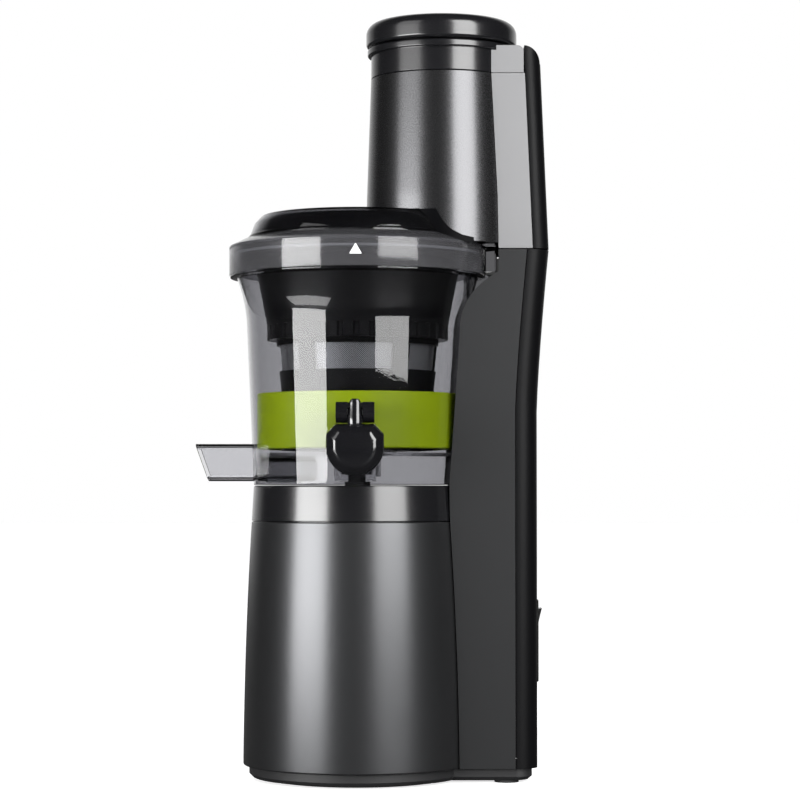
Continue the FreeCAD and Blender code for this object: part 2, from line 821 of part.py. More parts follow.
def make_back_cover():
    """Rounded cover that closes the spine's back, with openings for the switch and the gland."""
    levels = spine_levels(skirt_level, spine_top)
    front = lambda z: spine_back(z) - spine_corner + seam_gap
    outer = tower_loft(levels, front, spine_back, spine_half_width,
                       spine_corner - seam_gap - corner_lead)
    inner_levels = spine_levels(skirt_level - 1, spine_top - shell_wall)
    inner = tower_loft(inner_levels, lambda z: front(z) - 1.0, lambda z: spine_back(z) - shell_wall,
                       spine_half_width - shell_wall, spine_corner - seam_gap - shell_wall - corner_lead)
    cover = outer.cut(inner)
    reach = board_x + board_thickness
    posts = []
    for y in (-1, 1):
        for z in (board_low + board_inset, board_high - board_inset):
            length = spine_back_low - shell_wall / 2 - reach
            posts.append(Part.makeCylinder(standoff_radius, length,
                                           Vec(reach, y * (board_half_width - board_inset), z), Vec(1, 0, 0)))
    opening = block(spine_back_low - 8, spine_back_low + 5, -switch_half_width + bezel_frame - 1,
                    switch_half_width - bezel_frame + 1,
                    switch_height - switch_half_length + bezel_frame - 1,
                    switch_height + switch_half_length - bezel_frame + 1)
    gland = Part.makeCylinder(gland_radius, 20, Vec(spine_back_low - 10, 0, gland_height), Vec(1, 0, 0))
    shapes["spine_back_cover"] = cover.multiFuse(posts).cut(Part.makeCompound([opening, gland]))


def make_switch():
    """Power rocker in its bezel on the spine's back."""
    z0 = switch_height - switch_half_length
    z1 = switch_height + switch_half_length
    face = spine_back_low
    plate = block(face, face + bezel_proud, -switch_half_width, switch_half_width, z0, z1)
    plate = plate.makeFillet(3.0, [e for e in plate.Edges if abs(e.tangentAt(e.FirstParameter).x) > 0.9])
    collar = block(face - 5.0, face + 0.1, -switch_half_width + bezel_frame - 0.8,
                   switch_half_width - bezel_frame + 0.8, z0 + bezel_frame - 0.8, z1 - bezel_frame + 0.8)
    hole = block(face - 9, face + 5, -switch_half_width + bezel_frame, switch_half_width - bezel_frame,
                 z0 + bezel_frame, z1 - bezel_frame)
    pivot_x = face - rocker_pivot_depth + 2.5
    half_y = switch_half_width - bezel_frame - rocker_gap
    half_z = switch_half_length - bezel_frame - 2 * rocker_gap
    pin_length = 2 * (switch_half_width - bezel_frame + 0.6)
    pin = Part.makeCylinder(rocker_pin_radius, pin_length, Vec(pivot_x, -pin_length / 2, switch_height),
                            Vec(0, 1, 0))
    room = Part.makeCylinder(rocker_pin_radius + fit_gap, pin_length, Vec(pivot_x, -pin_length / 2,
                                                                          switch_height), Vec(0, 1, 0))
    shapes["switch_bezel"] = plate.fuse(collar).cut(hole).cut(room)
    ends = face + rocker_face_out
    rocker = side_prism([
        (pivot_x - 2.5, switch_height - 5), (face - 0.5, switch_height - half_z + 0.6),
        (ends, switch_height - half_z), ("arc", (ends - rocker_dip, switch_height),
                                         (ends, switch_height + half_z)),
        (face - 0.5, switch_height + half_z - 0.6), (pivot_x - 2.5, switch_height + 5)], half_y)
    rocker = rocker.fuse(pin)
    rocker.rotate(Vec(pivot_x, 0, switch_height), Vec(0, 1, 0), rocker_tilt)
    shapes["power_rocker"] = rocker


def make_electronics():
    """Cord gland, control board with its parts, and the interlock sensor."""
    outer = Part.makeCylinder(gland_radius - 0.1, shell_wall + 3, Vec(spine_back_low - shell_wall - 3, 0,
                                                                     gland_height), Vec(1, 0, 0))
    lip = Part.makeCylinder(gland_radius + 2, gland_proud, Vec(spine_back_low, 0, gland_height), Vec(1, 0, 0))
    hole = Part.makeCylinder(gland_bore, 30, Vec(spine_back_low - 15, 0, gland_height), Vec(1, 0, 0))
    shapes["cord_gland"] = outer.fuse(lip).cut(hole)
    shapes["control_board"] = block(board_x, board_x + board_thickness, -board_half_width,
                                    board_half_width, board_low, board_high)
    middle = (board_low + board_high) / 2
    half = board_part_pitch / 2
    boxes = []
    for (depth, width, height), y, z in ((relay_size, -half, -half), (coil_size, half, -half),
                                         (sink_size, -half, half)):
        boxes.append(block(board_x - depth, board_x, y - width / 2, y + width / 2,
                           middle + z - height / 2, middle + z + height / 2))
    capacitor = rod(capacitor_radius, middle + half - capacitor_length / 2,
                    middle + half + capacitor_length / 2, board_x - capacitor_radius - joint_gap, half)
    shapes["board_parts"] = Part.makeCompound(boxes + [capacitor])
    front = recess_flare_end_radius + shell_wall + seat_gap
    back = spine_back(spine_top) - spine_corner - seat_gap
    top = spine_top - shell_wall
    shapes["interlock_sensor"] = block(front, back, -sensor_width / 2, sensor_width / 2,
                                       top - sensor_height, top)


# Bowl with its pulp chute and juice spout

def make_bowl():
    """Clear bowl wall with its floor, pulp chute and juice spout welded to it, seal and plug."""
    foot, shoulder, curve, neck = bowl_outline(0)
    foot_in, shoulder_in, curve_in = bowl_outline(clear_wall)[:3]
    under_floor = bowl_floor - bowl_floor_thickness
    neck_inner = bowl_neck_radius - clear_wall
    tube_top = bowl_floor + bowl_tube_rise
    tube_low = under_floor - bowl_tube_drop
    outline = [
        foot, shoulder, ("arc", curve, neck),
        (bowl_flange_radius, neck[1] + 0.4), (bowl_flange_radius, bowl_flange_top),
        (bowl_neck_radius, bowl_flange_top), (bowl_neck_radius, bowl_top), (neck_inner, bowl_top),
        (neck_inner, neck[1] + 0.4), ("arc", (curve_in[0] + 0.2, curve_in[1]), shoulder_in), foot_in,
    ]
    wall = turned(outline)
    floor = turned([
        (bowl_radius(bowl_floor, clear_wall) - joint_gap, bowl_floor), (bowl_tube_radius, bowl_floor),
        (bowl_tube_radius, tube_top), (bowl_tube_bore, tube_top), (bowl_tube_bore, tube_low),
        (bowl_tube_radius, tube_low), (bowl_tube_radius, under_floor),
        (bowl_radius(under_floor, clear_wall) - joint_gap, under_floor)])
    outside = turned([(0, bowl_low - 1), (foot[0] + joint_gap, bowl_low - 1), (foot[0] + joint_gap, bowl_low),
                      (shoulder[0] + joint_gap, shoulder[1]), (0, shoulder[1])])
    chute_low, chute_high = bowl_low + pulp_low, bowl_low + pulp_high
    chute = side_prism([(-pulp_reach_bottom, chute_low), (-bowl_foot_radius + 4, chute_low),
                        (-bowl_foot_radius + 4, chute_high), (-pulp_reach_top, chute_high)],
                       pulp_half_width).cut(outside)
    chute_hole = block(-pulp_reach_top - 2, -bowl_radius(chute_high) - 0.6,
                       -pulp_half_width + trim_wall, pulp_half_width - trim_wall,
                       chute_low + trim_wall, chute_high - trim_wall)
    tunnel_low = chute_low
    tunnel = block(-bowl_foot_radius - 2, -tunnel_inner_end, -tunnel_half_width, tunnel_half_width,
                   tunnel_low, under_floor - joint_gap)
    tunnel_hole = block(-pulp_reach_bottom, -tunnel_inner_end - trim_wall,
                        -tunnel_half_width + trim_wall, tunnel_half_width - trim_wall,
                        tunnel_low + trim_wall, under_floor - trim_wall)
    pulp_drop = block(-pulp_hole_high, -pulp_hole_low, -pulp_hole_half, pulp_hole_half,
                      under_floor - trim_wall - 1, under_floor + 1)
    floor_hole = block(-pulp_hole_high, -pulp_hole_low, -pulp_hole_half, pulp_hole_half,
                       under_floor - 1, bowl_floor + 1)
    plug_hole = block(-plug_high, -plug_low, -plug_half_width, plug_half_width,
                      tunnel_low - 1, tunnel_low + trim_wall + 1)
    spout_base, spout_top = bowl_low + spout_low, bowl_low + spout_high
    spout = block(-spout_half_width, spout_half_width, -spout_front, -bowl_foot_radius + 5,
                  spout_base, spout_top).cut(outside)
    spout = spout.fuse(Part.makeCylinder(nozzle_outer, nozzle_reach + 1,
                                         Vec(0, -spout_front + 1, spout_axis), Vec(0, -1, 0)))
    channel = block(-spout_channel_half, spout_channel_half, -spout_front + 3, -bowl_foot_radius + 6,
                    bowl_low + spout_channel_low, bowl_low + spout_channel_high)
    bore = Part.makeCylinder(nozzle_bore, nozzle_reach + 10, Vec(0, -spout_front + 8, spout_axis),
                             Vec(0, -1, 0))
    gusset = side_prism([(gusset_root, bowl_low + gusset_low), (gusset_reach, bowl_flange_top - 2.5),
                         (gusset_reach, bowl_flange_top), (gusset_root, bowl_flange_top)],
                        gusset_half_width)
    hollow = turned([(0, bowl_low), (shoulder_in[0] - 0.1, bowl_low), shoulder_in,
                     ("arc", (curve_in[0] + 0.2, curve_in[1]), (neck_inner, neck[1] + 0.4)),
                     (neck_inner, bowl_top + 1), (0, bowl_top + 1)])
    pin_x, pin_y = on_circle(pinion_circle, pinion_angle)
    pin = rod(pinion_pin_radius, under_floor, auger_wheel_top + 1, pin_x, pin_y)
    shapes["bowl_floor"] = floor.fuse(pin).cut(floor_hole)
    body = wall.fuse(gusset.cut(hollow))
    wall_slot = block(-bowl_foot_radius - 3, -bowl_foot_radius + 5, -tunnel_half_width - joint_gap,
                      tunnel_half_width + joint_gap, tunnel_low - joint_gap, under_floor)
    spout_slot = block(-spout_channel_half, spout_channel_half, -bowl_foot_radius - 3,
                       -bowl_foot_radius + 6, bowl_low + spout_channel_low, bowl_low + spout_channel_high)
    shapes["bowl_shell"] = body.cut(Part.makeCompound([wall_slot, spout_slot])).removeSplitter()
    shapes["pulp_chute"] = chute.fuse(tunnel).cut(
        Part.makeCompound([chute_hole, tunnel_hole, pulp_drop, plug_hole]))
    shapes["juice_spout"] = spout.cut(channel.fuse(bore))
    gap = 0.15
    plug = block(-plug_high + gap, -plug_low - gap, -plug_half_width + gap, plug_half_width - gap,
                 tunnel_low, tunnel_low + trim_wall)
    lip = block(-plug_high - plug_lip, -plug_low + plug_lip, -plug_half_width - plug_lip,
                plug_half_width + plug_lip, tunnel_low - 0.8, tunnel_low)
    shapes["pulp_plug"] = plug.fuse(lip)
    seal = turned([(bowl_tube_bore, under_floor), (bowl_tube_bore, tube_top - 2),
                   (drive_radius + 0.3, tube_top - 2), (drive_radius + 1.6, under_floor)])
    shapes["bowl_seal"] = seal


def make_spout_cap():
    """Flip cap of the juice spout, with its hinge block, pin and silicone pad."""
    top = bowl_low + spout_high + seat_gap
    block_top = top + hinge_block_rise
    rear = block(-hinge_block_half, hinge_block_half, hinge_y, -hinge_back, top, block_top)
    knuckle = Part.makeCylinder(hinge_knuckle, 2 * hinge_block_half,
                                Vec(-hinge_block_half, hinge_y, hinge_axis), Vec(1, 0, 0))
    slot = block(-hinge_slot_half, hinge_slot_half, hinge_y - hinge_knuckle - 1, hinge_y + hinge_slot_back,
                 top - 1, block_top + 1)
    pin_hole = Part.makeCylinder(hinge_pin_radius, 2 * hinge_block_half + 2,
                                 Vec(-hinge_block_half - 1, hinge_y, hinge_axis), Vec(1, 0, 0))
    wall_room = turned([(0, bowl_low), (bowl_foot_radius + seat_gap, bowl_low),
                        (bowl_shoulder_radius + seat_gap, bowl_low + bowl_shoulder_height),
                        (0, bowl_low + bowl_shoulder_height)])
    shapes["spout_hinge_block"] = rear.fuse(knuckle).cut(slot).cut(pin_hole).cut(wall_room)
    shapes["spout_hinge_pin"] = Part.makeCylinder(hinge_pin_radius, 2 * hinge_block_half,
                                                  Vec(-hinge_block_half, hinge_y, hinge_axis), Vec(1, 0, 0))
    centre = bowl_low + cap_round_height
    side_top = centre + cap_side_rise
    cap_top = centre + cap_top_rise

    def cap_outline(inset):
        half = cap_half_width - inset
        return [(-half, centre), ("arc", (0, centre - half), (half, centre)), (half, side_top),
                (cap_top_half - inset / 2, cap_top - inset), (-cap_top_half + inset / 2, cap_top - inset),
                (-half, side_top)]

    outer = front_prism(cap_outline(0), -cap_front, -cap_back)
    front_edges = [e for e in outer.Edges if e.BoundBox.YMax < -cap_front + 0.01]
    outer = outer.makeFillet(cap_edge_round, front_edges)
    inner = front_prism(cap_outline(cap_wall), -cap_front + cap_wall, -cap_back + 1)
    boss_end = spout_front + nozzle_reach + seat_gap + cap_seal_thickness
    boss = Part.makeCylinder(nozzle_bore, cap_front - cap_wall - boss_end + 0.2,
                             Vec(0, -boss_end, spout_axis), Vec(0, -1, 0))
    arm = block(-cap_arm_half, cap_arm_half, hinge_y - 6, hinge_y + 1.0, cap_top - 1.5, hinge_axis)
    eye = Part.makeCylinder(cap_knuckle, 2 * cap_arm_half, Vec(-cap_arm_half, hinge_y, hinge_axis),
                            Vec(1, 0, 0))
    lever = block(-lever_half, lever_half, hinge_y - 6, hinge_y - 2.4, hinge_axis - 2,
                  hinge_axis + lever_rise)
    lever = lever.makeFillet(1.4, [e for e in lever.Edges if abs(e.tangentAt(e.FirstParameter).y) > 0.9
                                   and e.BoundBox.ZMin > hinge_axis])
    room = Part.makeCylinder(hinge_pin_radius + fit_gap, 2 * cap_arm_half + 2,
                             Vec(-cap_arm_half - 1, hinge_y, hinge_axis), Vec(1, 0, 0))
    cap = outer.cut(inner).multiFuse([boss, arm, eye, lever]).cut(room)
    shapes["spout_cap"] = cap.removeSplitter()
    shapes["spout_cap_pad"] = Part.makeCylinder(nozzle_outer + 0.4, cap_seal_thickness,
                                                Vec(0, -boss_end + cap_seal_thickness, spout_axis),
                                                Vec(0, -1, 0))


# Strainer, wiper, their wheel train and the auger

def make_strainer():
    """Black strainer frame that hangs from its rim, with a fine steel mesh inside it."""
    low = bowl_floor + strainer_foot_rise
    wall = strainer_wall
    top = bowl_low + strainer_top_height
    middle = bowl_low + strainer_mid_height
    tooth_top = top + tooth_flange_height
    funnel = bowl_low + funnel_height
    rim_low = bowl_top - rim_thickness
    outline = [
        (strainer_low_radius, low), (strainer_mid_radius, middle), (strainer_top_radius, top),
        (tooth_flange_radius, top), (tooth_flange_radius, tooth_top), (funnel_radius, funnel),
        (funnel_radius + 3, rim_low), (rim_radius, rim_low), (rim_radius, bowl_top - 0.3),
        (funnel_radius + 1, bowl_top - 0.3), (funnel_radius - wall, funnel),
        (tooth_flange_radius - wall, tooth_top + 1), (strainer_top_radius - wall, top),
        (strainer_mid_radius - wall, middle), (strainer_low_radius - wall, low),
    ]
    frame = turned(outline)
    cuts = []
    for k in range(window_count):
        cuts.append(sector(60, 30, bowl_low + window_low, bowl_low + window_high, window_angle,
                           window_middle + 360.0 * k / window_count))
    for k in range(lower_window_count):
        cuts.append(sector(60, 30, bowl_low + lower_window_low, bowl_low + lower_window_high,
                           lower_window_angle, 360.0 * (k + 0.5) / lower_window_count))
    for k in range(tooth_flange_count):
        notch = block(tooth_flange_radius - 1.4, tooth_flange_radius + 1, -tooth_flange_notch / 2,
                      tooth_flange_notch / 2, top - 1, tooth_top)
        cuts.append(around(notch, 360.0 * k / tooth_flange_count))
    pin_x, pin_y = on_circle(pinion_circle, pinion_angle)
    room = rod(ring_module * (pinion_teeth / 2 + 1) + pinion_room, low - 1, auger_wheel_top + pinion_room,
               pin_x, pin_y)
    cuts.append(room)
    shapes["strainer_frame"] = frame.cut(Part.makeCompound(cuts))
    inset = wall + mesh_gap
    mesh_low = auger_wheel_top + pinion_room + 0.5
    share = (mesh_low - low) / (middle - low)
    foot_radius = strainer_low_radius + share * (strainer_mid_radius - strainer_low_radius) - inset
    shapes["strainer_mesh"] = turned([
        (foot_radius, mesh_low), (strainer_mid_radius - inset, middle), (strainer_top_radius - inset, top),
        (strainer_top_radius - inset - mesh_thickness, top),
        (strainer_mid_radius - inset - mesh_thickness, middle), (foot_radius - mesh_thickness, mesh_low)])


def make_wiper():
    """Green ring that turns between strainer and bowl and carries three silicone blades."""
    low = bowl_low + wiper_low
    high = bowl_low + wiper_high
    inner = wiper_radius - wiper_wall
    band = ring(wiper_radius, inner, low, high)
    shelf = rod(inner + 0.5, auger_low, auger_wheel_top)
    cutter = wheel(ring_teeth, ring_module, pinion_angle + 180.0 / ring_teeth, auger_low - 1,
                   auger_wheel_top + 1, inside=True)
    shapes["wiper_ring"] = band.fuse(shelf.cut(cutter)).removeSplitter()
    blade = block(blade_inner, inner, -blade_width / 2, blade_width / 2, auger_wheel_top + 1.0, high - 1.0)
    blades = []
    for k in range(blade_count):
        blades.append(around(blade, 360.0 * k / blade_count).common(rod(inner, low, high)))
    shapes["wiper_blades"] = Part.makeCompound(blades)
    x, y = on_circle(pinion_circle, pinion_angle)
    pinion = wheel(pinion_teeth, ring_module, pinion_angle, auger_low, auger_wheel_top, x, y)
    shapes["wiper_pinion"] = pinion.cut(rod(pinion_pin_radius + fit_gap, auger_low - 1,
                                            auger_wheel_top + 1, x, y))


def make_auger():
    """Crushing screw: toothed foot, tapering core and one rising flight on a steel hexagon hub."""
    foot = wheel(auger_teeth, ring_module, pinion_angle, auger_low, auger_wheel_top)
    middle = bowl_low + auger_mid_height
    top = bowl_low + auger_top_height
    core = turned([(0, auger_low), (auger_core_low, auger_low), (auger_core_low, auger_wheel_top + 3),
                   (auger_core_mid, middle), (auger_core_top, top - 4), (auger_core_top - 4, top),
                   (tip_radius, top), (tip_radius, top + tip_length - 1), (tip_radius - 1, top + tip_length),
                   (0, top + tip_length)])
    start = auger_wheel_top + flight_thickness / 2 - 0.5
    helix = Part.makeLongHelix(flight_pitch, flight_pitch * flight_turns, auger_core_low, 0, False)
    half = flight_thickness / 2
    profile = Part.makePolygon([
        Vec(auger_core_top - 6, 0, -half), Vec(flight_radius, 0, -half / 2), Vec(flight_radius, 0, half / 2),
        Vec(auger_core_top - 6, 0, half), Vec(auger_core_top - 6, 0, -half)])
    flight = Part.Wire(helix.Edges).makePipeShell([profile], True, True)
    flight.translate(Vec(0, 0, start))
    body = join([core, foot, flight])
    tube_top = bowl_floor + bowl_tube_rise
    hub_low = tube_top + 1.0
    bore = rod(auger_bore, auger_low - 1, hub_low)
    hub_room = rod(hub_radius, hub_low - 1, hub_low + hub_length)
    shapes["auger"] = body.cut(bore).cut(hub_room)
    hub = rod(hub_radius, hub_low, hub_low + hub_length)
    shapes["auger_hub"] = hub.cut(hexagon(drive_hex_flat + 2 * hex_gap, hub_low - 1,
                                          deck_top + drive_hex_reach + 0.5))


# Lid

def feed_window():
    """Upright lens where the feed bore meets the strainer's mouth."""
    return rod(tower_bore, lid_low - 20, dome_top + 20, tower_x).common(
        rod(feed_window_radius, lid_low - 21, dome_top + 21))


def make_lid():
    """Smoked clear lid with a skirt and a dome, a black inner cover, a seal and a bayonet lug."""
    skirt_in = lid_skirt_radius - lid_skirt_wall
    wall = clear_wall
    outline = [
        (skirt_in, lid_low), (lid_skirt_radius, lid_low), (lid_skirt_radius, lid_shelf - 1.5),
        (lid_skirt_radius - 1.5, lid_shelf), (lid_shelf_radius, lid_shelf), (dome_low_radius, dome_foot),
        ("arc", (dome_mid_radius, dome_top - 5), (dome_top_radius, dome_top)), (0, dome_top),
        (0, dome_top - wall), (dome_top_radius - 1, dome_top - wall),
        ("arc", (dome_mid_radius - wall, dome_top - 5.5), (dome_low_radius - wall, dome_foot - 0.5)),
        (lid_shelf_radius - wall, lid_shelf - wall), (skirt_in, lid_shelf - wall),
    ]
    shell = turned(outline)
    groove = ring(lid_skirt_radius + 1, lid_skirt_radius - 0.5, lid_shelf - 4.6, lid_shelf - 3.8)
    lug = block(lid_skirt_radius - 2, lug_reach, -lug_half_width, lug_half_width,
                lid_low + lug_low, lid_shelf - 1.5)
    lug = lug.makeFillet(2.0, [e for e in lug.Edges if abs(e.tangentAt(e.FirstParameter).z) > 0.9
                               and e.BoundBox.XMin > lid_skirt_radius])
    shell = shell.cut(groove).fuse(lug.cut(rod(lid_skirt_radius - 1, 0, dome_top))).cut(feed_window())
    shapes["lid_shell"] = shell.removeSplitter()
    gap = seat_gap
    top = dome_top - wall - gap
    inner_low = bowl_top + seal_thickness + 0.6
    ceiling = lid_shelf - wall - gap
    plug_in = plug_ring_radius - plug_ring_wall
    cover = turned([
        (plug_in, bowl_top + 0.3), (plug_ring_radius, bowl_top + 0.3), (plug_ring_radius, ceiling),
        (lid_shelf_radius - wall - gap, ceiling), (dome_low_radius - wall - gap - 0.4, dome_foot - 1),
        ("arc", (dome_mid_radius - wall - gap - 0.3, dome_top - 6), (dome_top_radius - 1.8, top)),
        (0, top), (0, top - wall), (dome_top_radius - 4, top - wall),
        ("arc", (dome_mid_radius - 2 * wall - gap - 1, dome_top - 8),
         (dome_low_radius - 2 * wall - gap - 1, inner_low + 1)),
        (plug_in, inner_low)])
    tip_low = bowl_low + auger_top_height + 2.0
    bush_outer = tip_radius + 0.3 + tip_bush_wall
    boss = ring(bush_outer, tip_radius + 0.3, tip_low, top - 0.5)
    web = block(-dome_mid_radius + 6, 0, -2, 2, top - 7, top - 0.5).cut(rod(bush_outer - 1, 0, top))
    shapes["lid_inner_cover"] = join([cover, boss, web]).cut(feed_window())
    shapes["lid_seal"] = ring(bowl_neck_radius - 0.2, plug_ring_radius + 0.2, bowl_top + 0.2,
                              bowl_top + 0.2 + seal_thickness)
    z0 = lid_low + mark_rise
    face = face_from([(-mark_half_width, z0), (mark_half_width, z0), (0, z0 + mark_height)],
                     lambda a, b: Vec(a, -lid_skirt_radius - 2, b))
    mark = face.extrude(Vec(0, 4, 0))
    skin = ring(lid_skirt_radius + mark_proud, lid_skirt_radius, z0 - 1, z0 + mark_height + 1)
    shapes["alignment_mark"] = mark.common(skin)


# Feed tower and pusher

def tower_skin(inset, low):
    """Solid inside the tapering outer face of the round feed tower."""
    return turned([
        (0, low), (tower_radius_foot - inset, low), (tower_radius_mid - inset, tower_mid),
        (tower_radius_seam - inset, tower_seam), (0, tower_seam)], tower_x)


def make_tower():
    """Round metallic tower over the lid, its liner with a sloping floor, and its gloss collar."""
    under = lid_surface(seat_gap)
    shell = tower_skin(0, tower_foot).cut(tower_skin(trim_wall, tower_foot - 1)).cut(under)
    shapes["feed_tower"] = shell
    liner_outer = tower_bore + liner_wall
    slope = (feed_floor_high_z - feed_floor_low_z) / (feed_floor_high_x - feed_floor_low_x)
    far = tower_x + 60
    floor = side_prism([
        (feed_floor_low_x, feed_floor_low_z), (far, feed_floor_low_z + slope * (far - feed_floor_low_x)),
        (far, feed_floor_low_z + slope * (far - feed_floor_low_x) - 3),
        (feed_floor_low_x, feed_floor_low_z - 3)], 60)
    below = side_prism([
        (feed_floor_low_x, feed_floor_low_z - 2),
        (far, feed_floor_low_z + slope * (far - feed_floor_low_x) - 2),
        (far, tower_foot - 10), (feed_floor_low_x, tower_foot - 10)], 60)
    tube = ring(liner_outer, tower_bore, tower_foot, tower_top, tower_x).cut(below)
    plate = floor.common(rod(liner_outer, tower_foot, tower_top, tower_x))
    shapes["feed_liner"] = join([tube, plate]).cut(under)
    gap = seat_gap
    inner = liner_outer + 0.1
    shapes["tower_collar"] = turned([
        (inner, tower_seam + gap), (tower_radius_seam, tower_seam + gap),
        (tower_radius_seam - 0.1, collar_lip_low), (collar_lip_radius, collar_lip_low),
        (collar_lip_radius, tower_top - 0.6), (collar_lip_radius - 0.6, tower_top), (inner, tower_top)],
        tower_x)


def make_hopper():
    """Rear block of the feed tower: side moulding, top cap and dark back cover."""
    low = spine_top + hopper_gap
    seam = lambda z: hopper_back(z) - hopper_corner
    levels = [low, hopper_top]
    solid = tower_loft(levels, lambda z: tower_x, seam, hopper_half_width, 0)
    hollow = tower_loft([low + trim_wall, hopper_top - trim_wall], lambda z: tower_x,
                        lambda z: seam(z) - trim_wall, hopper_half_width - trim_wall, 0)
    tower_room = tower_skin(-seat_gap, low - 5)
    upper_room = rod(tower_radius_seam + seat_gap, tower_seam, tower_top + 5, tower_x)
    lip_room = rod(collar_lip_radius + seat_gap, collar_lip_low - 0.5, tower_top + 5, tower_x)
    under = lid_surface(seat_gap)
    lug_room = block(tower_x, lug_reach + 1, -lug_half_width - 1, lug_half_width + 1, low - 1, lid_shelf - 1)
    rooms = tower_room.multiFuse([upper_room, lip_room, under, lug_room])
    rim = side_prism([
        (tower_x, low), (hopper_back_low + 5, low), (hopper_back_low + 5, tower_seam),
        (seam(hopper_top), tower_seam), (seam(hopper_top), hopper_top - hopper_face_round),
        ("arc", (seam(hopper_top) - hopper_face_round * (1 - math.sqrt(0.5)),
                 hopper_top - hopper_face_round * (1 - math.sqrt(0.5))),
         (seam(hopper_top) - hopper_face_round, hopper_top)), (tower_x, hopper_top)], 60)
    side = solid.cut(hollow).cut(rooms).common(rim)
    split = seat_gap / 2
    reach = hopper_half_width + 5
    far = hopper_back_low + 5
    shapes["hopper_side"] = side.common(block(0, far, -reach, reach, low - 1, tower_seam - split))
    shapes["hopper_cap"] = side.common(block(0, far, -reach, reach, tower_seam + split, hopper_top + 1))
    front = lambda z: seam(z) + seam_gap
    shell = tower_loft(levels, front, hopper_back, hopper_half_width,
                       hopper_corner - seam_gap - corner_lead)
    inside = tower_loft([low + trim_wall, hopper_top - trim_wall], lambda z: front(z) - 1.0,
                        lambda z: hopper_back(z) - trim_wall, hopper_half_width - trim_wall,
                        hopper_corner - seam_gap - trim_wall - corner_lead)
    back_top = hopper_back(hopper_top)
    bend = hopper_top_round * (1 - math.sqrt(0.5))
    crown = side_prism([
        (tower_x, low - 1), (hopper_back_low + 5, low - 1),
        (hopper_back(hopper_top - hopper_top_round) + 5, hopper_top - hopper_top_round),
        (back_top, hopper_top - hopper_top_round),
        ("arc", (back_top - bend, hopper_top - bend), (back_top - hopper_top_round, hopper_top)),
        (tower_x, hopper_top)], 60)
    shapes["hopper_back_cover"] = shell.cut(inside).common(crown)
    depth, width, height = magnet_size
    x = seam(low) - trim_wall - seat_gap - depth
    shapes["interlock_magnet"] = block(x, x + depth, -width / 2, width / 2, low + trim_wall,
                                       low + trim_wall + height)


def make_pusher():
    """Hollow pusher that slides in the feed bore, and its broad cap."""
    low = tower_top + cap_gap
    high = low + cap_height
    bend = cap_round * (1 - math.sqrt(0.5))
    small = cap_low_round * (1 - math.sqrt(0.5))
    tube_radius = tower_bore - pusher_gap
    shapes["pusher_cap"] = turned([
        (0, low), (cap_radius - cap_low_round, low),
        ("arc", (cap_radius - small, low + small), (cap_radius, low + cap_low_round)),
        (cap_radius, high - cap_round),
        ("arc", (cap_radius - bend, high - bend), (cap_radius - cap_round, high - 0.6)),
        (20, high), (0, high)], tower_x)
    foot = feed_floor_high_z + pusher_foot_gap
    tube = rod(tube_radius, foot, low, tower_x)
    shapes["pusher_tube"] = tube.cut(rod(tube_radius - pusher_wall, foot + 2.5, low - 2.0, tower_x))


shapes["base_plate"] = make_base_plate()
shapes["foot_ring"], shapes["rear_feet"] = make_feet()
shapes["base_screws"] = make_base_screws()
shapes["base_housing"] = make_housing()
shapes["base_collar"] = make_collar()
make_motor()
make_gearbox()
make_spine()
make_back_cover()
make_switch()
make_electronics()
make_bowl()
make_spout_cap()
make_strainer()
make_wiper()
make_auger()
make_lid()
make_tower()
make_hopper()
make_pusher()

for name, shape in shapes.items():
    shape.exportStep("parts/" + name + ".step")
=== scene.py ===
import math

import bpy
import numpy as np
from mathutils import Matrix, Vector


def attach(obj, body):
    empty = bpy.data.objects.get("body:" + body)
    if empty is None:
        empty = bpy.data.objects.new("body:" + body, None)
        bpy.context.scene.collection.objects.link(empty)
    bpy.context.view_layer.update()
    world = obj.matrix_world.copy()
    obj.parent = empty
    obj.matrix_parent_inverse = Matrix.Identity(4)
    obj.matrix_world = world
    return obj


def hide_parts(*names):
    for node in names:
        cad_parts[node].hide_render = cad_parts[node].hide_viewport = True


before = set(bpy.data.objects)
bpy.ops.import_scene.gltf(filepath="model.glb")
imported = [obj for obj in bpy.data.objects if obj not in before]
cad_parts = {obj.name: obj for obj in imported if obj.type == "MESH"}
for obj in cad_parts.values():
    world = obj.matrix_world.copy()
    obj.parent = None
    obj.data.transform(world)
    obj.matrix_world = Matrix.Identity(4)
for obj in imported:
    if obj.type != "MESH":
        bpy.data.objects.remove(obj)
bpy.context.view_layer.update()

# Upright cold press juicer. Sizes are in millimetres and become metres in the meshes.
# The bowl's axis is Z, the spine stands at +X and the juice spout points at the camera, at -Y.
MM = 0.001
scene = bpy.context.scene


# Camera, lamps, world and floor
# The camera stands square to the spine's side, level with the lower third, and looks slightly up.
# Softboxes stand to the left and right of it, on a white floor. This section's sizes are in metres.
eye, aim = (0.0248, -1.520, 0.167), (0.0248, 0.0, 0.220)
lens, sensor, far_clip = 117.0, 36.0, 50.0
softbox_distance = 1.8


def look_at(thing, place, target):
    """Puts a camera or lamp at a place with its -Z axis towards the target and +Y upwards."""
    thing.location = place
    thing.rotation_euler = (Vector(target) - Vector(place)).to_track_quat("-Z", "Y").to_euler()


camera = bpy.data.objects.new("camera", bpy.data.cameras.new("camera"))
camera.data.lens = lens
camera.data.sensor_width = sensor
camera.data.clip_end = far_clip
look_at(camera, eye, aim)
scene.collection.objects.link(camera)
scene.camera = camera


